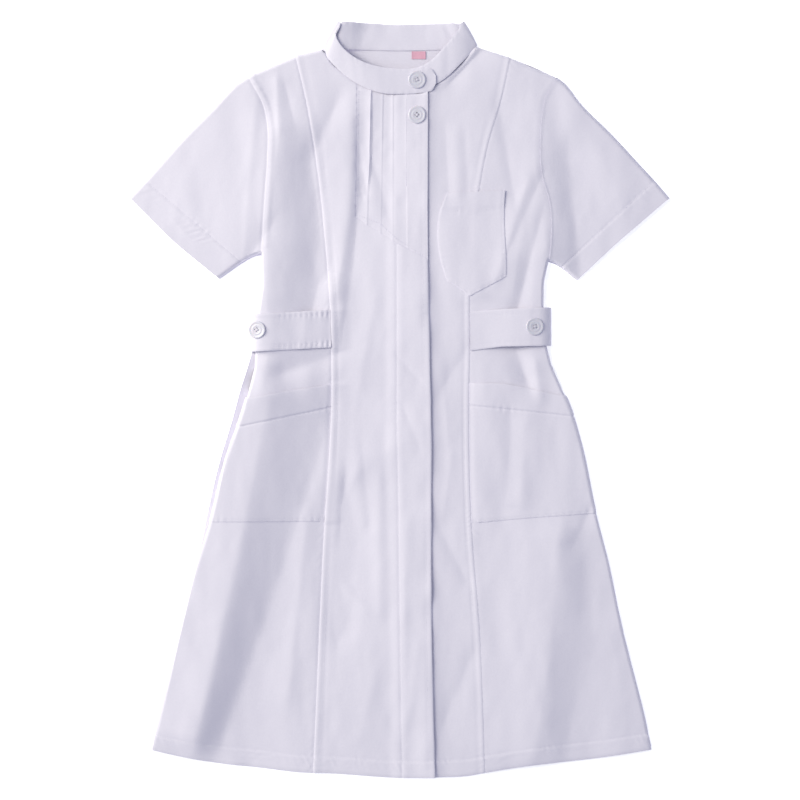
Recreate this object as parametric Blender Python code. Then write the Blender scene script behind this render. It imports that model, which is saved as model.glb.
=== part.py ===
"""A nurse's dress laid flat with its front up, one closed solid for each cut or sewn-on piece.

X runs towards the wearer's left, Y towards the neck, Z up from the surface the dress lies on.
All sizes and tables are in millimetres. The meshes are made in metres.
"""
from collections import namedtuple
import math

import bmesh
import bpy
import numpy as np

MM = 0.001

# Cloth
CLOTH = 1.2             # wall of one cut piece with its turnings
PLACKET = 2.6           # wall of the placket, folded on itself
COLLAR_WALL = 1.6
TAB_WALL = 1.4
POCKET_WALL = 1.1
HEM_TURN = 0.8          # extra height of a cuff where its hem is folded up
SEAM_GAP = 0.3          # between two pieces, at a seam or face to face
LAID_ON = CLOTH + SEAM_GAP
FRONT_REST = CLOTH + SEAM_GAP   # inner side of the front where it meets the back at a seam

# How far the front stands off the back
ROLL = 16.0             # width of the rounding beside a seamed or folded edge
CUFF_CALM = 0.55        # share of the puff lost towards a cuff
NORMAL_STEP = 0.5       # step for slopes
LEAST_PUFF = 0.2

# Placket
PLACKET_LIFT = 1.6      # clears the other front, which lies under it
PLACKET_EDGE_LIFT = 0.9 # its free edge stands a little higher still
LIFT_RUN = 16.0         # width over which the lift grows

# Pleated inset
TUCK_RISE = 1.4
TUCK_DROP = 0.7         # width of the step down beyond a tuck's edge
FIRST_TUCK_OPENS = 1.6
OPENS_AT = 0.62         # share of the way up the inset where the first tuck stands widest open
OPENS_RUN = 0.28

# Pocket mouths
HIP_MOUTH_OPENS = 1.1
MOUTH_FROM, MOUTH_TO = -30.0, 14.0      # y over which a hip pocket lifts towards its mouth

# Buttons
BUTTON_RADIUS = 10.6
BUTTON_HEIGHT = 2.8
BUTTON_STEPS = 24
BUTTON_SHANK = 0.4      # thread between the button and the cloth
TAB_CROWN = {"right": 1.3, "left": 0.1}     # a flat button stands on the rounded end of a tab

# Neck label
LABEL_SIZE = (18.0, 9.5)
LABEL_AT = (23.0, 414.5)
LABEL_WALL = 1.0

Fold = namedtuple("Fold", "top_x top_y foot_x foot_y bow rise left right")
Rung = namedtuple("Rung", "name heights rows")
Band = namedtuple("Band", "seam_x seam_y top_x top_y seam_z top_z")
Button = namedtuple("Button", "name x y tilt_x tilt_y")

# Lines from shoulder to hem: each row is (y, x).
RAILS = {
    "side_right": [(386, -181), (353, -164), (329, -159), (289, -159), (243, -162), (175, -166),
                   (120, -167), (107, -170), (59, -173), (36, -174.5), (7, -182), (-32, -195), (-65, -207),
                   (-150, -229), (-194, -241), (-263, -258.5), (-350, -279), (-418, -299)],
    "princess_right": [(410, -124), (353, -111), (307, -103), (256, -96), (174, -88), (120, -84), (60, -82),
                       (0, -82), (-72, -85), (-144, -90), (-264, -96), (-360, -100), (-447, -104)],
    "neck_right": [(421, -93), (372, -83), (252, -76), (120, -69), (0, -67), (-144, -71), (-449, -79)],
    "inset_side": [(379, -52), (300, -53), (220, -54), (120, -51), (0, -50), (-144, -51), (-450, -52)],
    "placket_inner": [(366, 3), (300, 1), (180, -2), (72, -3), (-48, -3), (-144, -1), (-288, 2), (-454, 3)],
    "placket_edge": [(368, 34), (180, 34), (132, 34.5), (72, 36), (-24, 38), (-288, 39), (-390, 41), (-450, 43)],
    "pocket_inner": [(386, 57), (300, 57), (248, 56), (232, 50), (166, 50), (143, 57), (0, 57), (-454, 57)],
    "neck_left": [(424, 92), (336, 81), (252, 73), (132, 68), (0, 68), (-144, 71), (-452, 80)],
    "princess_left": [(408, 133), (362, 123), (312, 108), (251, 96), (192, 90), (125, 85), (60, 85), (0, 84),
                      (-150, 87), (-282, 97), (-348, 100), (-448, 103)],
    "pocket_outer": [(398, 159), (324, 140), (252, 127), (148, 128), (60, 123), (0, 125), (-144, 140),
                     (-438, 175)],
    "side_left": [(385, 189), (366, 177), (338, 171), (305, 169), (276, 170), (232, 181), (197, 182),
                  (167, 179), (144, 174), (116, 173), (90, 175), (64, 177), (35, 185), (-8, 205), (-50, 218),
                  (-134, 236), (-192, 251), (-278, 269), (-374, 290), (-418, 303)],
}
CELLS_BETWEEN_RAILS = (14, 2, 3, 4, 3, 2, 3, 2, 3, 10)

# Lines from side to side: y on each rail in turn, then the rows of cells up to the next line.
RUNGS = [
    Rung("hem", (-418, -447, -449, -450, -454, -452, -454, -452, -448, -438, -418), 12),
    Rung("hip_pocket_foot", (-146, -146, -146, -146, -148, -148, -148, -148, -148, -143, -136), 6),
    Rung("hip_pocket_band", (-32, -8, -7, -7, -7, -7, -7, -7, -6, -10, -19), 1),
    Rung("hip_pocket_mouth", (2, 19, 19, 19, 19, 19, 19, 19, 20, 20, 4), 3),
    Rung("tab_foot", (58, 63, 62, 62, 62, 61, 60, 59, 59, 64, 65), 3),
    Rung("tab_head", (103, 108, 108, 108, 107, 106, 106, 106, 106, 109, 111), 1),
    Rung("chest_pocket_foot", (139, 140, 140, 140, 140, 142, 143, 137, 125, 148, 139), 2),
    Rung("inset_foot", (175, 210, 217, 220, 187, 168, 173, 174, 175, 175, 167), 3),
    Rung("chest_pocket_mouth", (252, 256, 257, 257, 252, 250, 248, 249, 250, 251, 246), 7),
    Rung("shoulder", (386, 410, 421, 379, 366, 368, 386, 424, 408, 398, 385), 0),
]

# Edge of the front round the neck, (x, y), and of the back, hidden behind the collar.
NECKLINE = [(-93, 421), (-86, 408), (-69, 391), (-52, 379), (-35, 371), (-19, 366.5), (9, 366), (34, 368),
            (44, 376), (57, 386), (79, 406), (92, 424)]
BACK_SIDE_RIGHT = [(175, -166), (120, -167), (98, -172), (59, -177), (41, -182), (13, -191), (-24, -201),
                   (-70, -215), (-128, -229), (-192, -242), (-263, -259), (-350, -279), (-418, -299)]
BACK_NECK = 420.9
BACK_HEM_DIP = 31.0     # how much lower the back's hem is in the middle than at the sides
BACK_CELLS = 9

# Sleeves: the folded outer edge and the underarm edge to the cuff's stitching, then the cuff.
SLEEVE_RIGHT = {
    "outer": [(-181, 386), (-198, 377), (-219, 355), (-256, 318), (-292, 278), (-305, 263)],
    "under": [(-166, 175), (-172, 174), (-190, 165)],
    "cuff": [(-324, 243), (-305, 224), (-274, 193), (-237, 162), (-217, 146)],
}
SLEEVE_LEFT = {
    "outer": [(189, 385), (198, 379.5), (218, 355), (255, 318), (292, 278), (306, 263)],
    "under": [(179, 167), (185, 165), (195, 159.5)],
    "cuff": [(324, 242), (303, 224), (258, 185), (227, 156), (214, 144)],
}
SLEEVE_SECTIONS = 7
FOLD_OUT = 1.0          # a folded edge stands out by about half of its two walls
FOLD_OUT_INSIDE = 0.1
HEM_STEP = 1.2          # run of the step up where the hem is turned in

# Puff of the front over the back, by y.
PUFF = [(-454, 1.6), (-360, 3.0), (-150, 4.5), (0, 5.0), (85, 6.0), (180, 5.0), (300, 4.5), (425, 5.0)]

# Broad swells that also carry the belt tabs, and the folds. Each runs from its top to its foot.
SWELLS = [
    Fold(-143, 348, -158, 70, -12, 7.0, 14, 34),
    Fold(160, 200, 158, 60, 0, 2.0, 30, 20),
]
FOLDS = [
    # Right side of the bodice and right front
    Fold(-113, 282, -94, 154, 0, -3.0, 16, 8),
    Fold(-94, 154, -110, 105, 0, -2.5, 12, 7),
    Fold(-74, 360, -74, 120, 0, 2.4, 12, 13),
    Fold(-51, 324, -65, 78, 4, -2.8, 9, 6),
    Fold(-147, 379, -145, 330, 0, 1.6, 6, 9),
    Fold(-71, 366, -98, 306, 0, -1.6, 9, 9),
    Fold(-28, -100, -26, -250, 0, 1.3, 9, 9),
    Fold(-3, -56, -80, -156, 0, -1.4, 7, 7),
    Fold(-76, -120, -82, -264, 0, -2.4, 5, 10),
    # Right side of the skirt
    Fold(-160, 54, -176, 6, 0, 3.0, 8, 16),
    Fold(-120, 60, -128, 26, 0, -2.6, 16, 12),
    Fold(-158, 6, -244, -402, 16, 6.5, 26, 20),
    Fold(-107, 10, -229, -404, 14, -4.2, 17, 8),
    Fold(-116, -128, -165, -374, 0, 2.0, 10, 13),
    Fold(-99, -150, -100, -288, 0, -2.0, 8, 5),
    Fold(-177, -360, -183, -446, 0, -1.6, 9, 5),
    # Left front
    Fold(55, 324, 59, 250, 0, -1.8, 7, 6),
    Fold(69, 324, 69, 250, 0, 1.4, 6, 6),
    Fold(80, 312, 81, 252, 0, -1.5, 6, 6),
    Fold(85, 66, 46, 6, 0, -1.4, 8, 8),
    Fold(49, -156, 80, -216, 0, -1.3, 8, 8),
    Fold(85, -312, 55, -384, 0, -1.4, 8, 9),
    # Left side of the bodice
    Fold(121, 346, 136, 254, 0, -2.4, 9, 7),
    Fold(169, 298, 134, 186, 0, -3.4, 9, 9),
    Fold(152, 250, 116, 140, 0, 2.2, 10, 10),
    Fold(177, 216, 141, 106, 4, -4.8, 10, 9),
    # Left side of the skirt
    Fold(122, 64, 152, 12, 0, -4.2, 11, 8),
    Fold(166, 60, 169, 12, 0, 2.6, 8, 9),
    Fold(134, -12, 128, -100, 0, -1.4, 12, 10),
    Fold(193, -130, 163, -420, 6, 4.2, 28, 20),
    Fold(223, -150, 200, -420, 6, -3.0, 15, 11),
    # Sleeves
    Fold(-162, 204, -184, 168, 0, -2.0, 9, 7),
    Fold(-262, 250, -232, 204, 0, 1.2, 26, 26),
    Fold(182, 250, 193, 172, 0, 4.0, 9, 18),
    Fold(201, 320, 190, 250, 0, -2.2, 9, 10),
    Fold(214, 230, 226, 172, 0, -2.0, 12, 16),
]
TAPER = 1.6             # length of a fold's end, in widths

# Tucks of the inset: x of each edge at the neck seam and at the foot.
TUCKS = [(-34.0, -39.0), (-20.0, -22.5), (-8.0, -8.0), (8.0, 8.5)]
CELLS_PER_TUCK = 2

# Belt tabs: the end rounds down over the side of the dress as a quarter of an ellipse.
TabEnd = namedtuple("TabEnd", "crest_x tip_x crest_z")
TAB_ENDS = {"right": TabEnd(-152, -179.5, 17.0), "left": TabEnd(158, 179.0, 10.6)}
TAB_TIP_CELLS = 5
TIP_CLEAR = 0.15        # the tip just clears the surface

# Collar: a band from the end under the tab, round the left side, the back and the right side.
COLLAR_UNDER = [
    Band(5, 367.2, 5, 397, 7.2, 8.6),
    Band(24, 369.0, 22, 399.5, 7.2, 8.6),
    Band(43, 378.6, 39, 408.5, 7.7, 9.0),
    Band(57.5, 388.2, 55.5, 426, 8.2, 9.6),
    Band(71, 401, 64, 435.5, 8.6, 9.8),
    Band(83.5, 414.5, 71, 445, 6.8, 9.6),
]
COLLAR_BACK = [
    Band(72, 423.6, 62, 452.8, 0.8, 1.4),
    Band(54, 422.3, 47, 452.2, 0.8, 1.8),
    Band(28, 421.6, 24, 451.8, 0.8, 0.9),
    Band(3, 421.2, 1, 451, 0.8, 1.6),
    Band(-18, 421.4, -16, 451.6, 0.8, 0.9),
    Band(-36, 421.8, -34, 452.8, 0.8, 2.0),
    Band(-58, 422.4, -51, 453.6, 0.8, 1.2),
    Band(-74, 421.8, -62, 453.6, 0.8, 0.8),
]
COLLAR_OVER = [
    Band(-85.5, 409.5, -76, 440, 6.4, 12.6),
    Band(-68.6, 392.3, -70, 425, 7.7, 13.2),
    Band(-51.6, 380.2, -57, 413, 8.0, 12.8),
    Band(-34.8, 372.2, -40, 404, 8.8, 12.0),
    Band(-18.8, 367.8, -20, 399, 9.4, 11.4),
    Band(6, 367.2, 5, 397, 9.6, 11.0),
    Band(22, 368.0, 22, 397.6, 9.6, 11.0),
    Band(35, 370.0, 35, 398, 9.6, 11.0),
    Band(40.5, 373.0, 40.5, 395.0, 9.8, 10.8),
    Band(43.6, 379.0, 43.6, 389.0, 10.0, 10.6),
]
COLLAR_FOLD_LEFT = {"seam": (93, 425), "top": (78, 453.4), "seam_high": 3.2, "top_high": 9.4}
COLLAR_FOLD_RIGHT = {"seam": (-93, 421.5), "top": (-75, 453.4), "seam_high": 3.2, "top_high": 12.2}
COLLAR_LOW = 0.8        # middle of the wall where the band lies on the surface
FOLD_STEPS = 5
BAND_CELLS = 3

BUTTONS = [
    Button("button_collar", 21, 384, 2.9, 0.0),
    Button("button_front", 21, 342, 0.0, -2.5),
    Button("button_tab_right", -170, 84, 0.0, -40.0),
    Button("button_tab_left", 162, 88, 0.0, 7.0),
]

RAIL_NAMES = list(RAILS)


def clear_scene():
    for thing in list(bpy.context.scene.objects):
        bpy.data.objects.remove(thing, do_unlink=True)


def material(name, colour, roughness):
    """A plain surface of one colour."""
    made = bpy.data.materials.new(name)
    made.use_nodes = True
    surface = made.node_tree.nodes["Principled BSDF"]
    surface.inputs["Base Color"].default_value = (*colour, 1.0)
    surface.inputs["Roughness"].default_value = roughness
    surface.inputs["Metallic"].default_value = 0.0
    return made


def smooth(table, at):
    """Read a smooth line through a short table of (place, value) rows."""
    place, value = np.array(sorted(table), dtype=float).T
    slope = np.gradient(value, place)
    at = np.asarray(at, dtype=float)
    left = np.clip(np.searchsorted(place, at) - 1, 0, len(place) - 2)
    width = place[left + 1] - place[left]
    t = np.clip((at - place[left]) / width, 0.0, 1.0)
    rise = (1 + 2 * t) * (1 - t) ** 2 * value[left] + t * t * (3 - 2 * t) * value[left + 1]
    return rise + width * (t * (1 - t) ** 2 * slope[left] - t * t * (1 - t) * slope[left + 1])


def along(points, fractions):
    """Places on a smooth curve through a few points, at shares of its length."""
    points = np.array(points, dtype=float)
    steps = np.linalg.norm(np.diff(points, axis=0), axis=1)
    reached = np.concatenate([[0.0], np.cumsum(steps)])
    at = np.asarray(fractions) * reached[-1]
    return np.stack([smooth(list(zip(reached, axis)), at) for axis in points.T], axis=-1)


def lay_out_grid():
    """Points of the whole front: rows run up from hem to shoulder, columns from side to side."""
    stops = np.arange(len(RAIL_NAMES))
    place = np.concatenate([
        np.linspace(stop, stop + 1, cells, endpoint=False)
        for stop, cells in zip(stops, CELLS_BETWEEN_RAILS)
    ] + [[stops[-1]]])

    def across(rail_heights):
        rail_x = [float(smooth(RAILS[rail], y)) for rail, y in zip(RAIL_NAMES, rail_heights)]
        return np.interp(place, stops, rail_x)

    def heights(rung):
        y = np.interp(place, stops, rung.heights)
        if rung.name == "shoulder":
            x = across(rung.heights)
            neck = (x >= NECKLINE[0][0]) & (x <= NECKLINE[-1][0])
            y = np.where(neck, smooth(NECKLINE, x), y)
        return y

    rows_x, rows_y = [], []
    for low, high in zip(RUNGS, RUNGS[1:]):
        for share in np.linspace(0.0, 1.0, low.rows, endpoint=False):
            rail_heights = (1 - share) * np.array(low.heights) + share * np.array(high.heights)
            rows_x.append(across(rail_heights))
            rows_y.append((1 - share) * heights(low) + share * heights(high))
    rows_x.append(across(RUNGS[-1].heights))
    rows_y.append(heights(RUNGS[-1]))
    return np.array(rows_x), np.array(rows_y)


def rung_row(name):
    """The grid row that a named rung lies on."""
    names = [rung.name for rung in RUNGS]
    return sum(rung.rows for rung in RUNGS[:names.index(name)])


def rail_column(name):
    """The grid column that a named rail lies on."""
    return sum(CELLS_BETWEEN_RAILS[:RAIL_NAMES.index(name)])


def distance_to_line(x, y, line):
    """Distance in plan to a line of points."""
    nearest = np.full(np.shape(x), np.inf)
    for (ax, ay), (bx, by) in zip(line, line[1:]):
        length = max(math.hypot(bx - ax, by - ay), 1e-6)
        ux, uy = (bx - ax) / length, (by - ay) / length
        reach = np.clip((x - ax) * ux + (y - ay) * uy, 0.0, length)
        nearest = np.minimum(nearest, np.hypot(x - ax - reach * ux, y - ay - reach * uy))
    return nearest


def rolled_edges(grid_x, grid_y):
    """Edges where front meets back and the cloth rounds down: shoulders, sleeves and side seams."""
    armpit, top = rung_row("inset_foot"), rung_row("shoulder")
    fractions = np.linspace(0.0, 1.0, 10)
    edges = []
    for column, sleeve, neck in ((0, SLEEVE_RIGHT, "neck_right"), (-1, SLEEVE_LEFT, "neck_left")):
        shoulder_point = (grid_x[top, rail_column(neck)], grid_y[top, rail_column(neck)])
        outer = along(sleeve["outer"], fractions)
        edges.append([shoulder_point, *map(tuple, outer), tuple(sleeve["cuff"][0])])
        under = along(sleeve["under"], fractions)[::-1]
        side = list(zip(grid_x[armpit::-1, column], grid_y[armpit::-1, column]))
        edges.append([tuple(sleeve["cuff"][-1]), *map(tuple, under), *side])
    return edges


def ridge(x, y, fold):
    """One long fold: its rise is greatest on its line, with a width of its own on each side."""
    run_x, run_y = fold.foot_x - fold.top_x, fold.foot_y - fold.top_y
    length = math.hypot(run_x, run_y)
    reach = ((x - fold.top_x) * run_x + (y - fold.top_y) * run_y) / length
    off = ((y - fold.top_y) * run_x - (x - fold.top_x) * run_y) / length
    share = np.clip(reach / length, 0.0, 1.0)
    off = off - fold.bow * 4 * share * (1 - share)
    width = np.where(off < 0, fold.left, fold.right)
    beyond = np.maximum(np.maximum(-reach, reach - length), 0.0)
    taper = TAPER * (fold.left + fold.right) / 2
    return fold.rise * np.exp(-(off / width) ** 2 - (beyond / taper) ** 2)


def smooth_step(low, high, at):
    t = np.clip((at - low) / (high - low), 0.0, 1.0)
    return t * t * (3 - 2 * t)


def puff(x, y):
    """Height of the front over its seams before any fold."""
    sleeve = smooth_step(200, 300, np.abs(x)) * smooth_step(110, 140, y)
    swell = sum(ridge(x, y, fold) for fold in SWELLS)
    return smooth(PUFF, y) * (1 - CUFF_CALM * sleeve) + swell


def roundness(x, y):
    """Nought on a rolled edge, one at the roll's width from it and beyond."""
    edge = np.min([distance_to_line(x, y, line) for line in ROLLED], axis=0)
    return 1 - (1 - np.minimum(edge / ROLL, 1.0)) ** 2


def taut_height(x, y):
    """Inner side of the front where a belt tab holds it smooth."""
    return FRONT_REST + roundness(x, y) * puff(x, y)


def height(x, y):
    """Inner side of the front and of the upper sleeves, folds and all."""
    under_tab = smooth_step(40, 56, y) * smooth_step(128, 112, y) * smooth_step(64, 78, np.abs(x))
    raised, sunk = 0.0, 0.0
    for fold in FOLDS:
        if fold.rise > 0:
            raised = raised + ridge(x, y, fold)
        else:
            sunk = sunk + ridge(x, y, fold)
    total = puff(x, y) + raised * (1 - under_tab) + sunk
    return FRONT_REST + roundness(x, y) * np.maximum(total, LEAST_PUFF)


def moved_out(surface, x, y, lift):
    """Points of a surface moved out by a lift, square to it."""
    step = NORMAL_STEP
    slope_x = (surface(x + step, y) - surface(x - step, y)) / (2 * step)
    slope_y = (surface(x, y + step) - surface(x, y - step)) / (2 * step)
    upright = 1 / np.sqrt(1 + slope_x ** 2 + slope_y ** 2)
    z = surface(x, y)
    return np.stack([x - slope_x * upright * lift, y - slope_y * upright * lift, z + upright * lift], axis=-1)


def new_object(name, bm, finish, smooth_faces=True):
    mesh = bpy.data.meshes.new(name)
    bmesh.ops.recalc_face_normals(bm, faces=bm.faces)
    bm.to_mesh(mesh)
    bm.free()
    mesh.materials.append(finish)
    if smooth_faces:
        mesh.shade_smooth()
        mesh.set_sharp_from_angle(angle=math.radians(40))
    piece = bpy.data.objects.new(name, mesh)
    bpy.context.scene.collection.objects.link(piece)
    piece.parent = DRESS
    return piece


def grid_of(bm, rows, columns):
    """A sheet of square cells, its points numbered row by row."""
    bmesh.ops.create_grid(bm, x_segments=columns - 1, y_segments=rows - 1, size=1.0)
    bm.verts.ensure_lookup_table()
    bm.faces.ensure_lookup_table()


def inward(vertex):
    """Way into the cloth, in plan, from a point on the edge of a flat sheet."""
    ways = []
    for edge in vertex.link_edges:
        if not edge.is_boundary:
            continue
        run = (edge.verts[1].co - edge.verts[0].co).to_2d().normalized()
        way = run.orthogonal()
        middle = (edge.verts[0].co + edge.verts[1].co).to_2d() / 2
        centre = edge.link_faces[0].calc_center_median().to_2d()
        ways.append(way if way.dot(centre - middle) > 0 else -way)
    both = ways[0] + ways[1]
    return both / max(1.0 + ways[0].dot(ways[1]), 0.4)


def cloth_piece(name, inner, outer, finish, kept=None):
    """Close the space between an inner and an outer sheet of points, edge gap taken off all round."""
    rows, columns = inner.shape[:2]
    bm = bmesh.new()
    grid_of(bm, rows, columns)
    number = bm.verts.layers.int.new("number")
    for index, vertex in enumerate(bm.verts):
        vertex[number] = index
        vertex.co = inner.reshape(-1, 3)[index]
    if kept is not None:
        gone = [face for face, keep in zip(bm.faces, kept.ravel()) if not keep]
        bmesh.ops.delete(bm, geom=gone, context="FACES")
    shift = {vertex[number]: inward(vertex) * SEAM_GAP / 2 for vertex in bm.verts if vertex.is_boundary}
    made = bmesh.ops.extrude_face_region(bm, geom=list(bm.faces), use_keep_orig=True)
    upper = {item for item in made["geom"] if isinstance(item, bmesh.types.BMVert)}
    for vertex in bm.verts:
        sheet = outer if vertex in upper else inner
        place = sheet.reshape(-1, 3)[vertex[number]].copy()
        place[:2] += np.array(shift.get(vertex[number], (0.0, 0.0)))
        vertex.co = place * MM
    return new_object(name, bm, finish)


def on_front(name, rungs, rails, inner_lift, outer_lift, surface, finish, kept=None):
    """A piece cut from the grid of the front between two rungs and two rails."""
    rows = slice(rung_row(rungs[0]), rung_row(rungs[1]) + 1)
    columns = slice(rail_column(rails[0]), rail_column(rails[1]) + 1)
    x, y = GRID_X[rows, columns], GRID_Y[rows, columns]
    inner = moved_out(surface, x, y, inner_lift(x, y))
    outer = moved_out(surface, x, y, outer_lift(x, y))
    return cloth_piece(name, inner, outer, finish, kept)


def level(amount):
    """The same lift everywhere."""
    return lambda x, y: np.full(np.shape(x), float(amount))


def placket_lift(x, y):
    """Lift of the right front: it climbs on to the left front, and its free edge stands up."""
    inner_x = smooth(RAILS["placket_inner"], y)
    edge_x = smooth(RAILS["placket_edge"], y)
    on_top = smooth_step(inner_x - LIFT_RUN, inner_x - 2, x)
    at_edge = smooth_step(inner_x + 6, edge_x, x)
    return PLACKET_LIFT * on_top + PLACKET_EDGE_LIFT * at_edge


def front_right_outer(x, y):
    """The placket is thicker than the front that it edges."""
    inner_x = smooth(RAILS["placket_inner"], y)
    folded = smooth_step(inner_x - 1, inner_x + 3, x)
    return placket_lift(x, y) + CLOTH + (PLACKET - CLOTH) * folded


def build_front(finish):
    """Five panels of the front, each from its own stretch of the grid."""
    whole = ("hem", "shoulder")
    on_front("side_front_right", whole, ("side_right", "princess_right"), level(0), level(CLOTH), height, finish)
    on_front("side_front_left", whole, ("princess_left", "side_left"), level(0), level(CLOTH), height, finish)
    on_front("front_left", whole, ("placket_inner", "princess_left"), level(0), level(CLOTH), height, finish)

    first, last = rail_column("princess_right"), rail_column("placket_edge")
    kept = np.ones((rung_row("shoulder"), last - first), dtype=bool)
    kept[rung_row("inset_foot"):, rail_column("inset_side") - first:] = False
    rails = ("princess_right", "placket_edge")
    on_front("front_right", whole, rails, placket_lift, front_right_outer, height, finish, kept)


def build_inset(finish):
    """The inset: each strip climbs to a tuck's edge and steps down beyond it."""
    rows = slice(rung_row("inset_foot"), rung_row("shoulder") + 1)
    side, edge = rail_column("inset_side"), rail_column("placket_edge")
    border_x, border_y = GRID_X[rows, side:edge + 1], GRID_Y[rows, side:edge + 1]
    up = np.linspace(0.0, 1.0, border_x.shape[0])

    starts = [border_x[:, 0]]
    ends = []
    for neck_x, foot_x in TUCKS:
        tuck_x = foot_x + (neck_x - foot_x) * up
        ends.append(tuck_x)
        starts.append(tuck_x + TUCK_DROP)
    ends.append(border_x[:, -1])

    columns, rises = [], []
    opened = np.exp(-((up - OPENS_AT) / OPENS_RUN) ** 2)
    for strip, (start, end) in enumerate(zip(starts, ends)):
        for share in np.linspace(0.0, 1.0, CELLS_PER_TUCK + 1):
            columns.append(start + (end - start) * share)
            last_strip = strip == len(TUCKS)
            rise = TUCK_RISE if last_strip else TUCK_RISE * share
            extra = FIRST_TUCK_OPENS * opened * share ** 3 if strip == 0 else 0.0
            rises.append(np.full(up.shape, rise) + extra)
    x = np.stack(columns, axis=1)
    y = np.stack([np.interp(row, xs, ys) for row, xs, ys in zip(x, border_x, border_y)])
    rise = np.stack(rises, axis=1)
    inner = moved_out(height, x, y, placket_lift(x, y))
    outer = moved_out(height, x, y, placket_lift(x, y) + CLOTH + rise)
    cloth_piece("pleated_inset", inner, outer, finish)


def build_back(finish):
    """The back lies flat on the surface, hem to shoulder, and shows beside the right side seam."""
    top = rung_row("shoulder")
    armpit = rung_row("inset_foot")
    share = np.linspace(0.0, 1.0, BACK_CELLS + 1)
    rows = []
    for row in range(top + 1):
        left_y, right_y = GRID_Y[row, 0], GRID_Y[row, -1]
        left_x = GRID_X[row, 0] if row >= armpit else float(smooth(BACK_SIDE_RIGHT, left_y))
        right_x = GRID_X[row, -1]
        middle = np.sin(math.pi * share)
        down = max(0.0, 1 - row / RUNGS[0].rows)
        level_y = left_y + (right_y - left_y) * share - BACK_HEM_DIP * down * middle ** 0.8
        x = left_x + (right_x - left_x) * share
        if row == top:
            first, last = NECKLINE[0], NECKLINE[-1]
            x = np.array([left_x, (left_x + first[0]) / 2, first[0], *np.linspace(first[0], last[0], 6)[1:-1],
                          last[0], (right_x + last[0]) / 2, right_x])
            level_y = np.interp(x, [left_x, first[0], last[0], right_x], [left_y, BACK_NECK, BACK_NECK, right_y])
        rows.append(np.stack([x, level_y, np.zeros_like(x)], axis=-1))
    under = np.array(rows)
    over = under.copy()
    over[:, :, 2] = CLOTH
    cloth_piece("back", under, over, finish)


def closed_ring(name, loops, finish):
    """Skin loops that run along the outer wall of a tube and back along its inner wall."""
    loops = np.concatenate([loops, loops[:1]])
    loops = np.concatenate([loops, loops[:, :1]], axis=1)
    bm = bmesh.new()
    grid_of(bm, *loops.shape[:2])
    for vertex, place in zip(bm.verts, loops.reshape(-1, 3)):
        vertex.co = place * MM
    bmesh.ops.remove_doubles(bm, verts=bm.verts, dist=1e-7)
    return new_object(name, bm, finish)


def patch(first, last, first_side, last_side, steps):
    """Points across a four-sided area: two opposite edges and the curves that join their ends."""
    u = np.linspace(0.0, 1.0, steps)[:, None, None]
    v = np.linalg.norm(np.diff(first, axis=0), axis=1)
    v = (np.concatenate([[0.0], np.cumsum(v)]) / v.sum())[None, :, None]
    side_a = along(first_side, u[:, 0, 0])[:, None, :]
    side_b = along(last_side, u[:, 0, 0])[:, None, :]
    edges = (1 - u) * first[None] + u * last[None] + (1 - v) * side_a + v * side_b
    corners = (1 - u) * ((1 - v) * first[0] + v * first[-1]) + u * ((1 - v) * last[0] + v * last[-1])
    return edges - corners


def build_sleeve(name, column, lines, finish):
    """A flattened tube: its lower wall lies on the surface, its upper wall carries on from the front."""
    armpit, top = rung_row("inset_foot"), rung_row("shoulder")
    armhole = np.stack([GRID_X[armpit:top + 1, column], GRID_Y[armpit:top + 1, column]], axis=-1)[::-1]
    steps = np.linalg.norm(np.diff(armhole, axis=0), axis=1)
    share = np.concatenate([[0.0], np.cumsum(steps)]) / steps.sum()
    stitched = np.outer(1 - share, lines["outer"][-1]) + np.outer(share, lines["under"][-1])
    cuff = along(lines["cuff"], share)

    body = patch(armhole, stitched, lines["outer"], lines["under"], SLEEVE_SECTIONS)
    to_cuff = stitched - body[-2]
    to_cuff /= np.linalg.norm(to_cuff, axis=1)[:, None]
    body[0] += (stitched - armhole) / np.linalg.norm(stitched - armhole, axis=1)[:, None] * SEAM_GAP
    plan = np.concatenate([body, (stitched + to_cuff * HEM_STEP)[None], (stitched + cuff)[None] / 2, cuff[None]])
    turned = np.array([0.0] * SLEEVE_SECTIONS + [HEM_TURN] * 3)[:, None]

    x, y = plan[:, :, 0], plan[:, :, 1]
    lift = np.broadcast_to(CLOTH + turned, x.shape)
    upper_out = moved_out(height, x, y, lift)
    upper_in = moved_out(height, x, y, np.zeros(x.shape))
    lower_out = np.stack([x, y, np.zeros_like(x)], axis=-1)
    lower_in = np.stack([x, y, np.full_like(x, CLOTH)], axis=-1)

    def fold(edge, inside, out):
        """A point between the walls at a folded edge, moved out in plan."""
        way = plan[:, edge] - plan[:, inside]
        way = way / np.linalg.norm(way, axis=1)[:, None]
        middle = (upper_in[:, edge, 2] + CLOTH) / 2
        return np.concatenate([plan[:, edge] + way * out, middle[:, None]], axis=1)[:, None]

    outer_loops = np.concatenate(
        [upper_out, fold(-1, -2, FOLD_OUT), lower_out[:, ::-1], fold(0, 1, FOLD_OUT)], axis=1)
    inner_loops = np.concatenate(
        [upper_in, fold(-1, -2, FOLD_OUT_INSIDE), lower_in[:, ::-1], fold(0, 1, FOLD_OUT_INSIDE)], axis=1)
    closed_ring(name, np.concatenate([outer_loops, inner_loops[::-1]]), finish)


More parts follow.
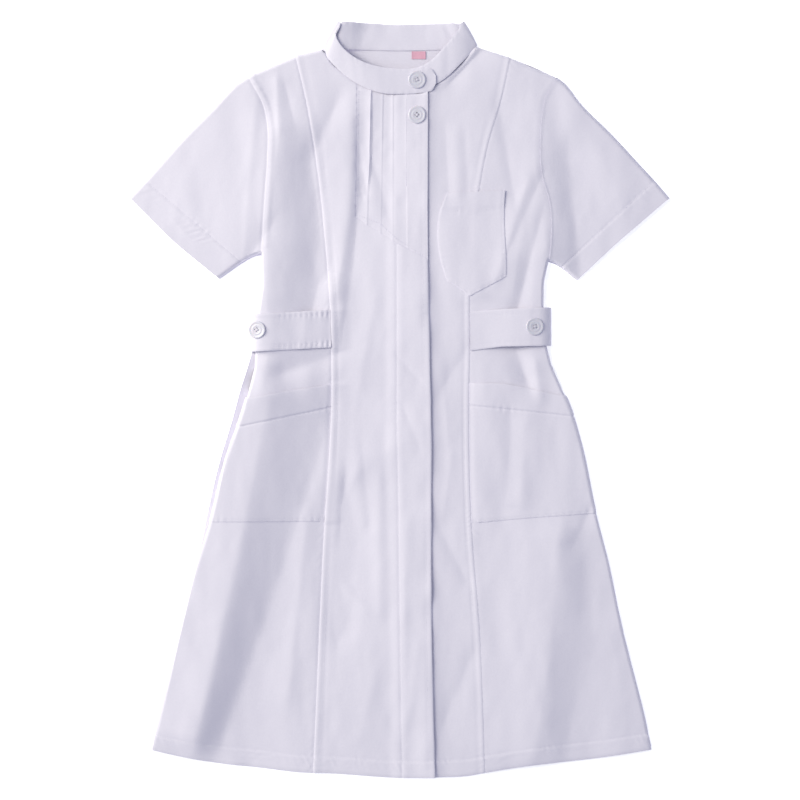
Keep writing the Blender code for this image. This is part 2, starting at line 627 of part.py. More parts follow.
def build_pockets(finish):
    """Patch pockets: the front's own points, moved out, with the mouths standing a little open."""
    def hip_lift(x, y):
        mouth = smooth_step(MOUTH_FROM, MOUTH_TO, y)
        return LAID_ON + HIP_MOUTH_OPENS * mouth * roundness(x, y)

    def hip_outer(x, y):
        return hip_lift(x, y) + POCKET_WALL

    hip = ("hip_pocket_foot", "hip_pocket_mouth")
    on_front("hip_pocket_right", hip, ("side_right", "princess_right"), hip_lift, hip_outer, height, finish)
    on_front("hip_pocket_left", hip, ("princess_left", "side_left"), hip_lift, hip_outer, height, finish)

    chest = ("chest_pocket_foot", "chest_pocket_mouth")
    outer = level(LAID_ON + POCKET_WALL)
    on_front("chest_pocket", chest, ("pocket_inner", "pocket_outer"), level(LAID_ON), outer, height, finish)


def tab_surface(side):
    """Inner side of a belt tab: taut over the front, rounding down past the side of the dress."""
    end = TAB_ENDS[side]
    half = abs(end.tip_x - end.crest_x)
    outward_sign = math.copysign(1.0, end.tip_x)

    def surface(x, y):
        past = np.clip((x - end.crest_x) * outward_sign / half, 0.0, 1.0)
        arch = end.crest_z * np.sqrt(np.maximum(1 - past ** 2, 0.0))
        over_front = taut_height(x, y) + LAID_ON
        outside = smooth_step(0.35, 0.75, past)
        covered = np.maximum(over_front, arch * smooth_step(-0.05, 0.45, (x - end.crest_x) * outward_sign / half))
        return np.maximum((1 - outside) * covered + outside * arch, TIP_CLEAR)

    return surface


def build_tab(name, side, rails, finish):
    rows = slice(rung_row("tab_foot"), rung_row("tab_head") + 1)
    columns = slice(rail_column(rails[0]), rail_column(rails[1]) + 1)
    x, y = GRID_X[rows, columns], GRID_Y[rows, columns]
    tip_x = TAB_ENDS[side].tip_x
    share = np.linspace(0.0, 1.0, TAB_TIP_CELLS + 1)
    edge = 0 if side == "right" else -1
    tip = x[:, [edge]]
    extra_x = tip + (tip_x - tip) * share[None, 1:]
    extra_y = np.repeat(y[:, [edge]], TAB_TIP_CELLS, axis=1)
    if side == "right":
        x, y = np.hstack([extra_x[:, ::-1], x]), np.hstack([extra_y, y])
    else:
        x, y = np.hstack([x, extra_x]), np.hstack([y, extra_y])
    surface = tab_surface(side)
    inner = moved_out(surface, x, y, np.zeros_like(x))
    outer = moved_out(surface, x, y, np.full_like(x, TAB_WALL))
    cloth_piece(name, inner, outer, finish)


def fold_sections(fold, first_sign):
    """Sections of the collar round one of its side folds, as half a turn between low and high."""
    seam, top = np.array(fold["seam"], dtype=float), np.array(fold["top"], dtype=float)
    line = top - seam
    outward_way = np.array([line[1], -line[0]]) / np.linalg.norm(line)
    if outward_way[0] * seam[0] < 0:
        outward_way = -outward_way
    seam_radius = (fold["seam_high"] - COLLAR_LOW) / 2
    top_radius = (fold["top_high"] - COLLAR_LOW) / 2
    sections = []
    for angle in np.linspace(-math.pi / 2, math.pi / 2, FOLD_STEPS) * first_sign:
        seam_xy = seam + outward_way * seam_radius * (math.cos(angle) - 1)
        top_xy = top + outward_way * top_radius * (math.cos(angle) - 1)
        seam_z = COLLAR_LOW + seam_radius * (1 + math.sin(angle))
        top_z = COLLAR_LOW + top_radius * (1 + math.sin(angle))
        sections.append(Band(*seam_xy, *top_xy, seam_z, top_z))
    return sections


def build_collar(finish):
    """One band, swept round the neck: its ends overlap at the front and it folds over at each side."""
    bands = (COLLAR_UNDER + fold_sections(COLLAR_FOLD_LEFT, -1) + COLLAR_BACK
             + fold_sections(COLLAR_FOLD_RIGHT, 1) + COLLAR_OVER)
    seam = np.array([(band.seam_x, band.seam_y, band.seam_z) for band in bands])
    top = np.array([(band.top_x, band.top_y, band.top_z) for band in bands])
    share = np.linspace(0.0, 1.0, BAND_CELLS + 1)[None, :, None]
    middle = seam[:, None] * (1 - share) + top[:, None] * share
    run = np.gradient(middle, axis=0)
    square = np.cross(run, (top - seam)[:, None])
    square /= np.linalg.norm(square, axis=2)[:, :, None]
    one_side = middle + square * COLLAR_WALL / 2
    other_side = middle - square * COLLAR_WALL / 2
    loops = np.concatenate([one_side, other_side[:, ::-1], one_side[:, :1]], axis=1)
    bm = bmesh.new()
    grid_of(bm, *loops.shape[:2])
    for vertex, place in zip(bm.verts, loops.reshape(-1, 3)):
        vertex.co = place * MM
    bmesh.ops.remove_doubles(bm, verts=bm.verts, dist=1e-7)
    bmesh.ops.holes_fill(bm, edges=[edge for edge in bm.edges if edge.is_boundary], sides=0)
    new_object("collar", bm, finish)


def button_seat(button):
    """Height of the middle of a button's foot over its place."""
    x, y = np.array([button.x], dtype=float), np.array([button.y], dtype=float)
    if button.name == "button_collar":
        over = COLLAR_OVER[6]
        share = (button.y - over.seam_y) / (over.top_y - over.seam_y)
        return over.seam_z + (over.top_z - over.seam_z) * share + COLLAR_WALL / 2
    if button.name == "button_front":
        return float(moved_out(height, x, y, front_right_outer(x, y))[0, 2])
    side = button.name.rsplit("_", 1)[1]
    crown = TAB_CROWN[side]
    return float(moved_out(tab_surface(side), x, y, np.array([TAB_WALL]))[0, 2]) + crown


def build_button(button, finish):
    """A turned disc with a raised rim, standing on its thread."""
    profile = [(0.0, 0.0), (BUTTON_RADIUS - 0.9, 0.0), (BUTTON_RADIUS, 0.8), (BUTTON_RADIUS, 1.9),
               (BUTTON_RADIUS - 0.7, BUTTON_HEIGHT), (BUTTON_RADIUS - 1.7, BUTTON_HEIGHT),
               (BUTTON_RADIUS - 2.7, 1.9), (5.2, 1.6), (0.0, 1.8)]
    bm = bmesh.new()
    line = [bm.verts.new((radius * MM, 0.0, rise * MM)) for radius, rise in profile]
    edges = [bm.edges.new(pair) for pair in zip(line, line[1:])]
    bmesh.ops.spin(bm, geom=line + edges, axis=(0, 0, 1), cent=(0, 0, 0), angle=2 * math.pi,
                   steps=BUTTON_STEPS, use_merge=True)
    bmesh.ops.remove_doubles(bm, verts=bm.verts, dist=1e-6)
    piece = new_object(button.name, bm, finish)
    piece.location = (button.x * MM, button.y * MM, (button_seat(button) + BUTTON_SHANK) * MM)
    piece.rotation_euler = (math.radians(button.tilt_x), math.radians(button.tilt_y), 0.0)


def build_label(finish):
    """A blank woven label on the inside of the back, just under the neck seam."""
    width, length = LABEL_SIZE
    x, y = np.meshgrid(np.linspace(-width / 2, width / 2, 5), np.linspace(-length / 2, length / 2, 3))
    under = np.stack([x + LABEL_AT[0], y + LABEL_AT[1], np.full_like(x, FRONT_REST)], axis=-1)
    over = under.copy()
    over[:, :, 2] += LABEL_WALL
    cloth_piece("neck_label", under, over, finish)


clear_scene()
DRESS = bpy.data.objects.new("dress", None)
bpy.context.scene.collection.objects.link(DRESS)

GRID_X, GRID_Y = lay_out_grid()
ROLLED = rolled_edges(GRID_X, GRID_Y)

white_cloth = material("white_cloth", (0.76, 0.76, 0.86), 0.85)
button_white = material("button_white", (0.80, 0.80, 0.86), 0.30)
label_pink = material("label_pink", (0.62, 0.22, 0.36), 0.80)

build_back(white_cloth)
build_front(white_cloth)
build_inset(white_cloth)
build_sleeve("sleeve_right", 0, SLEEVE_RIGHT, white_cloth)
build_sleeve("sleeve_left", -1, SLEEVE_LEFT, white_cloth)
build_pockets(white_cloth)
build_tab("belt_tab_right", "right", ("side_right", "princess_right"), white_cloth)
build_tab("belt_tab_left", "left", ("princess_left", "side_left"), white_cloth)
build_collar(white_cloth)
for button in BUTTONS:
    build_button(button, button_white)
build_label(label_pink)
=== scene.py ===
"""A white nurse's dress laid flat with its front up, seen from straight above.

X runs towards the wearer's left, Y towards the neck, Z up from the surface that it lies on. Sizes and
places are in millimetres, and the meshes are made in metres.
"""
from collections import namedtuple
import math

import bmesh
import bpy
import numpy as np
from mathutils import Matrix, Vector


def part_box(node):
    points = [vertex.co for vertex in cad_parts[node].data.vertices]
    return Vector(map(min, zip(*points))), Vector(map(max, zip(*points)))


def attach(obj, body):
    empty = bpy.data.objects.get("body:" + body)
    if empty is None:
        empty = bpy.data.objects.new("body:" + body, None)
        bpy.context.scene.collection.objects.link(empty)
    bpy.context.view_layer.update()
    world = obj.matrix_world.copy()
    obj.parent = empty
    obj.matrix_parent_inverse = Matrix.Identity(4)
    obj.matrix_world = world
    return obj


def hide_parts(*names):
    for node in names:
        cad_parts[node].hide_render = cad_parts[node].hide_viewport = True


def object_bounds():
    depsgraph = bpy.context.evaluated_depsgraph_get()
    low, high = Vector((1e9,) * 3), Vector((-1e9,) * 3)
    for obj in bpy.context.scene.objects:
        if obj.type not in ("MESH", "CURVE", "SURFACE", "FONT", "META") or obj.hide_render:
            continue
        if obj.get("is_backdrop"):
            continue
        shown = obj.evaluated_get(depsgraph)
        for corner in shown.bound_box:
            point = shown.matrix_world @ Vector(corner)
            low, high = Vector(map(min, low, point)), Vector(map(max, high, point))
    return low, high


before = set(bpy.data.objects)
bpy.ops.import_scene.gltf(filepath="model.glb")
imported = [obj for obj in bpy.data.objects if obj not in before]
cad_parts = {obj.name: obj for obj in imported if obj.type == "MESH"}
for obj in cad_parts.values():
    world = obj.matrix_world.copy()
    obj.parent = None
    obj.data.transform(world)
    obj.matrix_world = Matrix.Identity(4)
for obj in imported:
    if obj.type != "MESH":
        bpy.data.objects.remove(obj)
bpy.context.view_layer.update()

# --------------------------------------------------------------------
# Side fronts: two long panels of plain-woven white uniform cloth, from the side seams to the princess
# seams. The whole front is laid out as one cloth with its folds, then cut along the seams, so that
# pieces next to each other, and those laid on them, follow the same creases.

MM = 0.001
CLOTH = 1.2             # the cloth's outer face over its inner face, in the build's solids
FRONT_REST = 1.5        # inner face of the front where it meets the back at a seam
WALL = 0.55             # thickness shown: one layer of cloth
HEM_WALL = 1.15         # hem turned up twice
HEM_DEPTH = 20.0        # from the hem's edge to its row of stitches
HEM_RISE = 0.35         # of the turned-up hem over the single cloth above it
HEM_ROLL = 5.0          # width over which the hem's lower edge rolls down
EDGE_SINK = 0.75        # how much nearer the back the outer face lies at a seamed edge
UNDERLAP = 1.4          # seam allowance that passes under the next panel
ROLL = 3.6              # width of the rounding beside a seamed or folded edge
CUFF_CALM = 0.46        # share of its puff that a sleeve has lost at the cuff
CALM_FROM = (200, 300)  # distances from the middle between which a sleeve calms down
CALM_ABOVE = (110, 140)
TAB_HOLDS = ((40, 56), (128, 112), (64, 78))    # where a tab holds the cloth: its foot, head and inner end
LEAST_PUFF = 0.2        # the least height of the front over its seams
SOFT_FOOT = 1.3         # how softly a deep fold comes down on the back
NORMAL_STEP = 0.5       # step over which a slope is measured
CROWDING = 0.55         # cells are narrower beside the seams

Fold = namedtuple("Fold", "top_x top_y foot_x foot_y bow rise left right")
Rung = namedtuple("Rung", "heights rows")

# Seam and edge lines from shoulder to hem: each row is (y, x).
RAILS = {
    "side_right": [(386, -181), (353, -164), (329, -159), (289, -159), (243, -162), (175, -166),
                   (120, -167), (107, -170), (59, -173), (36, -174.5), (7, -182), (-32, -195), (-65, -207),
                   (-150, -229), (-194, -243), (-263, -261), (-350, -282), (-420, -299)],
    "princess_right": [(410, -124), (353, -111), (307, -103), (256, -96), (174, -88), (120, -84), (60, -82),
                       (0, -82), (-72, -85), (-144, -90), (-264, -96), (-360, -100), (-447, -104)],
    "neck_right": [(421, -93), (372, -83), (252, -76), (120, -69), (0, -67), (-144, -71), (-449, -79)],
    "inset_side": [(379, -52), (300, -53), (220, -54), (120, -51), (0, -50), (-144, -51), (-450, -52)],
    "placket_inner": [(366, 3), (300, 1), (180, -2), (72, -3), (-48, -3), (-144, -1), (-288, 2), (-454, 3)],
    "placket_edge": [(368, 34), (180, 34), (132, 34.5), (72, 36), (-24, 38), (-288, 39), (-390, 41),
                     (-450, 43)],
    "pocket_inner": [(386, 57), (300, 57), (248, 56), (232, 50), (166, 50), (143, 57), (0, 57), (-454, 57)],
    "neck_left": [(424.5, 92), (336, 81), (252, 73), (132, 68), (0, 68), (-144, 71), (-452, 80)],
    "princess_left": [(408, 133), (362, 123), (312, 108), (251, 96), (192, 90), (125, 85), (60, 85),
                      (0, 84), (-150, 87), (-282, 97), (-348, 100), (-448, 103)],
    "pocket_outer": [(398, 159), (324, 140), (252, 127), (148, 128), (60, 123), (0, 125), (-144, 140),
                     (-438, 175)],
    "side_left": [(385, 189), (366, 177), (338, 171), (305, 169), (276, 170), (232, 181), (197, 182),
                  (167, 179), (144, 174), (116, 173), (90, 175), (64, 177), (35, 185), (-8, 205),
                  (-50, 218), (-134, 236), (-192, 251), (-278, 269), (-336, 284), (-384, 296),
                  (-420, 303)],
}
RAIL_NAMES = list(RAILS)
SIDE_RAILS = {"right": ("side_right", "princess_right"), "left": ("princess_left", "side_left")}
CELLS_BETWEEN_RAILS = (64, 10, 10, 24, 22, 9, 8, 13, 22, 46)

# Lines from side to side: y on each rail in turn, then the rows of cells up to the next line.
RUNGS = {
    "hem": Rung((-420, -447, -449, -450, -454, -452, -454, -452, -448, -438, -420), 118),
    "hip_pocket_foot": Rung((-146, -146, -146, -146, -148, -148, -148, -148, -148, -143, -136), 58),
    "hip_pocket_band": Rung((-32, -8, -7, -7, -7, -7, -7, -7, -6, -10, -19), 14),
    "hip_pocket_mouth": Rung((2, 19, 19, 19, 19, 19, 19, 19, 20, 20, 4), 20),
    "tab_foot": Rung((58, 63, 62, 62, 62, 61, 60, 59, 59, 64, 65), 20),
    "tab_head": Rung((103, 108, 108, 108, 107, 106, 106, 106, 106, 109, 111), 14),
    "chest_pocket_foot": Rung((139, 140, 140, 140, 140, 142, 143, 137, 125, 148, 139), 22),
    "inset_foot": Rung((175, 210, 217, 220, 187, 168, 173, 174, 175, 175, 167), 28),
    "chest_pocket_mouth": Rung((252, 256, 257, 257, 252, 250, 248, 249, 250, 251, 246), 66),
    "shoulder": Rung((389, 413.5, 421.5, 379, 366, 368, 386, 424.5, 411, 401, 387), 0),
}
HEM = [(-299, -420), (-263, -428), (-215, -436.5), (-167, -442), (-119, -447.5), (-79, -449), (3, -454),
       (43, -453.5), (80, -452), (103, -448), (151, -440), (240, -430), (303, -420)]
NECKLINE = [(-92.5, 421.5), (-86, 408), (-69, 391), (-52, 379), (-35, 371), (-19, 366.5), (9, 366),
            (34, 368), (44, 376), (57, 386), (79, 406), (92, 424.5)]

# Sleeve edges that the front rounds down to, (x, y) from the shoulder or the armpit to the cuff.
SLEEVE_RIGHT = {
    "outer": [(-181, 389), (-198, 378), (-219, 355), (-256, 318), (-292, 278), (-305, 263)],
    "under": [(-166, 175), (-172, 174), (-190, 165)],
    "cuff": [(-324, 243), (-305, 224), (-274, 193), (-237, 162), (-217, 146)],
}
SLEEVE_LEFT = {
    "outer": [(189, 387), (198, 380), (218, 355), (255, 318), (292, 278), (306, 263)],
    "under": [(179, 167), (185, 165), (195, 159.5)],
    "cuff": [(324, 242), (303, 224), (258, 185), (227, 156), (214, 144)],
}


# Puff of the front over the back, by y, and the broad swells that also carry the belt tabs.
PUFF = [(-454, 2.0), (-360, 4.2), (-150, 5.0), (-20, 5.0), (85, 6.2), (180, 5.4), (300, 4.8), (425, 4.6)]
SWELLS = [
    Fold(-143, 320, -157, 70, -7, 8.0, 30, 38),
    Fold(160, 200, 158, 60, 0, 2.0, 30, 20),
]

# The main creases and pulls. The rise of a valley is below nought. A width to the left or the right is
# one number, or a pair for the fold's top and its foot.
FOLDS = [
    # Right side of the bodice and right front
    Fold(-106, 282, -91, 160, 1, -5.2, 24, 26),
    Fold(-92, 162, -105, 108, 0, -4.4, 22, 16),
    Fold(-57, 330, -75, 140, 6, 2.2, 20, 9),
    Fold(-49, 324, -68, 84, 7, -2.8, 9, 36),
    Fold(-147, 379, -145, 330, 0, 1.6, 6, 9),
    Fold(-71, 366, -98, 306, 0, -1.6, 9, 9),
    Fold(-24, -100, -24, -250, 0, 1.5, 12, 8),
    Fold(-2, -54, -56, -92, -3, 2.4, 60, 22),
    Fold(-56, -92, -75, -152, 0, 2.0, 40, 13),
    Fold(-65, -106, -73, -264, 0, -3.8, 7, 24),
    # Right side of the skirt
    Fold(-158, 54, -170, 6, 0, 2.0, 30, 16),
    Fold(-172, 56, -180, 30, 0, -2.2, 8, 12),
    Fold(-86, 52, -136, 34, 0, -3.0, 13, 12),
    Fold(-158, 2, -243, -400, 3, 12.0, (160, 76), (40, 22)),
    Fold(-73, 8, -208, -400, 3, -5.4, (34, 17), 90),
    Fold(-113, -150, -133, -350, 0, 2.0, 20, 10),
    Fold(-93, -136, -96, -290, 0, -2.4, 8, 28),
    Fold(-177, -360, -183, -446, 0, -1.6, 9, 9),
    # Left front
    Fold(55, 324, 59, 250, 0, -0.7, 7, 7),
    Fold(69, 324, 69, 250, 0, 0.5, 6, 6),
    Fold(80, 312, 81, 252, 0, -0.6, 6, 7),
    Fold(85, 66, 46, 6, 0, -1.0, 8, 12),
    Fold(49, -156, 80, -216, 0, -1.3, 8, 10),
    Fold(85, -312, 55, -384, 0, -1.1, 9, 12),
    # Left side of the bodice
    Fold(121, 346, 136, 254, 0, -1.8, 9, 16),
    Fold(168, 262, 134, 186, 0, -1.7, 10, 12),
    Fold(150, 250, 118, 150, 0, 1.8, 10, 10),
    Fold(168, 212, 141, 106, 0, -2.8, 10, 13),
    Fold(172, 190, 172, 152, 0, 1.2, 24, 12),
    Fold(146, 200, 133, 112, 0, 0.8, 18, 9),
    Fold(92, 262, 88, 140, 0, 1.4, 36, 30),
    # Left side of the skirt
    Fold(139, 64, 152, 28, 0, -4.6, (22, 10), 16),
    Fold(161, 60, 167, 12, 0, 2.4, 10, 8),
    Fold(134, -24, 128, -110, 0, -0.9, 14, 10),
    Fold(151, -30, 146, -120, 0, 1.0, 12, 12),
    Fold(190, -170, 160, -420, 6, 6.6, 50, 34),
    Fold(221, -176, 204, -420, 6, -2.8, 24, 80),
    Fold(228, -134, 210, -170, 0, -1.0, 8, 10),
    Fold(258, -280, 272, -420, 0, 2.2, 60, 30),
    # Sleeves
    Fold(-174, 350, -188, 166, 0, 2.9, 90, 12),
    Fold(-160, 200, -184, 164, 0, -2.6, 12, 14),
    Fold(-262, 250, -232, 204, 0, 1.2, 26, 26),
    Fold(-196, 158, -222, 142, 0, -2.6, 34, 34),
    Fold(164, 270, 176, 186, 0, 4.0, 32, 28),
    Fold(205, 288, 218, 150, 0, -5.4, 18, 40),
    Fold(238, 300, 262, 250, 0, 1.4, 20, 30),
]
SMALL_FOLDS = [
    # Across the middle of the dress
    Fold(-2, 52, 24, 24, 0, -0.6, 4, 4),
    Fold(4, -7, 25, -60, 0, -0.6, 5, 5),
    Fold(-64, -227, -40, -252, 0, 0.7, 5, 5),
    Fold(-30, 118, -48, 20, 0, 0.7, 10, 7),
    Fold(10, -150, 6, -260, 0, 0.7, 6, 8),
    Fold(22, -300, 12, -380, 0, 0.6, 7, 7),
    Fold(-30, -330, -46, -400, 0, 0.7, 9, 9),
    Fold(50, 40, 58, -40, 0, 0.6, 6, 7),
    Fold(62, -70, 54, -130, 0, 0.6, 6, 7),
    # The slit beside the collar's left end
    Fold(99, 421, 66, 386, 0, -2.0, 3.5, 11.0),
    # Small pulls near the seams
    Fold(-50, 302, -39, 250, 0, -1.0, 4, 5),
    Fold(-52, 282, -45, 244, 0, -0.8, 3, 4),
    Fold(-33, 288, -13, 226, 0, -1.2, 7, 24),
    Fold(-136, 372, -128, 340, 0, -0.6, 5, 5),
    Fold(-116, 392, -108, 350, 0, -0.5, 5, 6),
    Fold(140, -130, 205, -148, 0, -0.7, 4, 6),
    Fold(96, 128, 140, 118, 0, 0.5, 6, 6),
    Fold(-45, -60, -36, -150, 0, -0.7, 6, 8),
    Fold(-270, 214, -256, 200, 0, 0.6, 5, 5),
]
TAPER = 1.6             # length of a fold's end, in widths
LONGEST_TAPER = 26.0
CREASE = 1.5            # two for a round fold, less for a crisper one
SLEEVE_EDGE_POINTS = 10
SEAM_EVERY = 8          # every eighth row is enough for the line of a side seam
UNEVEN = ((0.75, 0.12, 24, 78, 3), (0.28, 0, 13, 31, 5), (0.10, 0, 8, 14, 7))   # rise slant wide tall seed
LATTICE = 97


def smooth(table, at):
    """Read a smooth line through a short table of (place, value) rows."""
    place, value = np.array(sorted(table), dtype=float).T
    slope = np.gradient(value, place)
    at = np.asarray(at, dtype=float)
    left = np.clip(np.searchsorted(place, at) - 1, 0, len(place) - 2)
    width = place[left + 1] - place[left]
    t = np.clip((at - place[left]) / width, 0.0, 1.0)
    rise = (1 + 2 * t) * (1 - t) ** 2 * value[left] + t * t * (3 - 2 * t) * value[left + 1]
    return rise + width * (t * (1 - t) ** 2 * slope[left] - t * t * (1 - t) * slope[left + 1])


def smooth_step(low, high, at):
    t = np.clip((at - low) / (high - low), 0.0, 1.0)
    return t * t * (3 - 2 * t)


def bell(x):
    """One in the middle, and smoothly down to nought on both sides."""
    return np.exp(-x ** 2)


def distances(points):
    """How far along a line of points each of them lies."""
    return np.concatenate([[0.0], np.cumsum(np.linalg.norm(np.diff(points, axis=0), axis=1))])


def shares(points):
    """How far along a line each of its points lies, as a share of its length."""
    reached = distances(points)
    return reached / reached[-1]


def on_curve(points, reached, at):
    """Places on a smooth curve through points, at distances along it."""
    return np.stack([smooth(list(zip(reached, axis)), at) for axis in points.T], axis=-1)


def along(points, fractions):
    """Places on a smooth curve through a few points, at shares of its length."""
    points = np.array(points, dtype=float)
    reached = distances(points)
    return on_curve(points, reached, np.asarray(fractions) * reached[-1])


def crowded(cells):
    """Shares from nought to one, closer together at both ends."""
    even = np.linspace(0.0, 1.0, cells + 1)
    return even - CROWDING * np.sin(2 * math.pi * even) / (2 * math.pi)


def rail_x(rail, y):
    """x of a seam or edge line at y."""
    return smooth(RAILS[rail], y)


def lay_out_grid():
    """Points of the whole front: rows run up from hem to shoulder, columns from side to side."""
    stops = np.arange(len(RAILS))
    place = [stop + crowded(cells)[:-1] for stop, cells in zip(stops, CELLS_BETWEEN_RAILS)]
    place = np.concatenate([*place, [stops[-1]]])

    def across(rail_heights):
        return np.interp(place, stops, [float(rail_x(rail, y)) for rail, y in zip(RAILS, rail_heights)])

    def level(name):
        x, y = across(RUNGS[name].heights), np.interp(place, stops, RUNGS[name].heights)
        if name == "hem":
            y = smooth(HEM, x)
        if name == "shoulder":
            y = np.where((x >= NECKLINE[0][0]) & (x <= NECKLINE[-1][0]), smooth(NECKLINE, x), y)
        return y

    names = list(RUNGS)
    rows = []
    for low, high in zip(names, names[1:]):
        low_heights, high_heights = np.array(RUNGS[low].heights), np.array(RUNGS[high].heights)
        for share in crowded(RUNGS[low].rows)[:-1]:
            x = across((1 - share) * low_heights + share * high_heights)
            rows.append((x, (1 - share) * level(low) + share * level(high)))
    rows.append((across(RUNGS[names[-1]].heights), level(names[-1])))
    return np.array([x for x, y in rows]), np.array([y for x, y in rows])


def rung_row(name):
    return sum(rung.rows for rung in list(RUNGS.values())[:list(RUNGS).index(name)])


def rail_column(name):
    return sum(CELLS_BETWEEN_RAILS[:RAIL_NAMES.index(name)])


def distance_to_line(x, y, line):
    """Distance in plan to a line of points."""
    nearest = np.full(np.shape(x), np.inf)
    for (ax, ay), (bx, by) in zip(line, line[1:]):
        length = max(math.hypot(bx - ax, by - ay), 1e-6)
        ux, uy = (bx - ax) / length, (by - ay) / length
        reach = np.clip((x - ax) * ux + (y - ay) * uy, 0.0, length)
        nearest = np.minimum(nearest, np.hypot(x - ax - reach * ux, y - ay - reach * uy))
    return nearest


def rolled_edges(grid_x, grid_y):
    """Edges where front meets back and the cloth rounds down: shoulders, sleeves and side seams."""
    armpit, top = rung_row("inset_foot"), rung_row("shoulder")
    fractions = np.linspace(0.0, 1.0, SLEEVE_EDGE_POINTS)
    edges = []
    for column, side, sleeve in ((0, "right", SLEEVE_RIGHT), (-1, "left", SLEEVE_LEFT)):
        rails = [rail_column(f"{rail}_{side}") for rail in ("neck", "princess")]
        shoulder = [(grid_x[top, rail], grid_y[top, rail]) for rail in rails]
        edges.append([*shoulder, *along(sleeve["outer"], fractions), sleeve["cuff"][0]])
        seam = zip(grid_x[armpit::-SEAM_EVERY, column], grid_y[armpit::-SEAM_EVERY, column])
        under = along(sleeve["under"], fractions)[::-1]
        edges.append([sleeve["cuff"][-1], *under, *seam, (grid_x[0, column], grid_y[0, column])])
    return edges


def ridge(x, y, fold):
    """One long fold: its rise is greatest on its line, with a width of its own on each side."""
    run_x, run_y = fold.foot_x - fold.top_x, fold.foot_y - fold.top_y
    length = math.hypot(run_x, run_y)
    reach = ((x - fold.top_x) * run_x + (y - fold.top_y) * run_y) / length
    off = ((y - fold.top_y) * run_x - (x - fold.top_x) * run_y) / length
    share = np.clip(reach / length, 0.0, 1.0)
    off = off - fold.bow * 4 * share * (1 - share)
    left, right = (np.interp(share, (0, 1), side) if isinstance(side, tuple) else side
                   for side in (fold.left, fold.right))
    width = np.where(off < 0, left, right)
    beyond = np.maximum(np.maximum(-reach, reach - length), 0.0)
    taper = np.minimum(TAPER * (left + right) / 2, LONGEST_TAPER)
    return fold.rise * np.exp(-np.abs(off / width) ** CREASE - (beyond / taper) ** 2)


def soft_noise(x, y, wide, tall, seed):
    """Smooth random heights from -1 to 1, one hill or hollow to each cell of a lattice."""
    lattice = np.random.default_rng(seed).uniform(-1.0, 1.0, (LATTICE, LATTICE))
    across, up = x / wide + LATTICE / 2, y / tall + LATTICE / 2
    column, row = np.floor(across).astype(int), np.floor(up).astype(int)
    u, v = smooth_step(0, 1, across - column), smooth_step(0, 1, up - row)

    def level(at_column):
        low, high = (lattice[at_row % LATTICE, at_column % LATTICE] for at_row in (row, row + 1))
        return low * (1 - v) + high * v

    return level(column) * (1 - u) + level(column + 1) * u


def puff(x, y):
    """Height of the front over its seams before any fold."""
    sleeve = smooth_step(*CALM_FROM, np.abs(x)) * smooth_step(*CALM_ABOVE, y)
    return smooth(PUFF, y) * (1 - CUFF_CALM * sleeve) + sum(ridge(x, y, fold) for fold in SWELLS)


def roundness(x, y):
    """Nought on a rolled edge, one at the roll's width from it and beyond."""
    edge = np.min([distance_to_line(x, y, line) for line in ROLLED], axis=0)
    return 1 - (1 - np.minimum(edge / ROLL, 1.0)) ** 2


def height(x, y):
    """Inner side of the front and of the upper sleeves, folds and all, held smooth under the tabs."""
    foot, head, inner = (smooth_step(*edge, at) for edge, at in zip(TAB_HOLDS, (y, y, np.abs(x))))
    under_tab = foot * head * inner
    raised = sum(ridge(x, y, fold) for fold in FOLDS if fold.rise > 0)
    sunk = sum(ridge(x, y, fold) for fold in FOLDS if fold.rise <= 0)
    total = puff(x, y) + raised * (1 - under_tab) + sunk - LEAST_PUFF
    total = LEAST_PUFF + (total + np.sqrt(total ** 2 + SOFT_FOOT ** 2)) / 2
    total = total + sum(ridge(x, y, fold) for fold in SMALL_FOLDS) * (1 - under_tab)
    uneven = sum(rise * soft_noise(x + slant * y, y, wide, tall, seed)
                 for rise, slant, wide, tall, seed in UNEVEN)
    total = total + uneven * (1 - under_tab)
    return FRONT_REST + roundness(x, y) * np.maximum(total, LEAST_PUFF / 2)


def moved_out(surface, x, y, lift):
    """Points of a surface moved out by a lift, square to it."""
    step = NORMAL_STEP
    slope_x = (surface(x + step, y) - surface(x - step, y)) / (2 * step)
    slope_y = (surface(x, y + step) - surface(x, y - step)) / (2 * step)
    upright = 1 / np.sqrt(1 + slope_x ** 2 + slope_y ** 2)
    z = surface(x, y) + upright * lift
    return np.stack([x - slope_x * upright * lift, y - slope_y * upright * lift, z], axis=-1)


def pucker(run, pitch, seed):
    """Uneven gathering along a stitched line, from -1 to 1."""
    phase = np.random.default_rng(seed).uniform(0.0, 2 * math.pi, 6)
    drift = 1.9 * np.sin(run / (pitch * 3.1) + phase[0]) + 1.2 * np.sin(run / (pitch * 1.3) + phase[1])
    strength = 0.5 + 0.5 * np.sin(run / (pitch * 2.3) + phase[2]) * np.sin(run / (pitch * 5.9) + phase[4])
    small = 0.45 * np.sin(2 * math.pi * run / (pitch * 0.61) + 1.7 * drift + phase[5])
    return strength * (np.sin(2 * math.pi * run / pitch + drift + phase[3]) + small)


def stitched_line(away, run, seed, pull=0.35, gather=0.18, spread=3.5, pitch=8.0, groove=1.25):
    """A line of stitches pulls the cloth into a groove and gathers it a little on both sides."""
    return -pull * bell(away / groove) + gather * pucker(run, pitch, seed) * bell(away / spread)


def turned_up(over_hem):
    """One where the hem is turned up, nought above its stitches."""
    return 1 - smooth_step(HEM_DEPTH - 1, HEM_DEPTH + 1, over_hem)


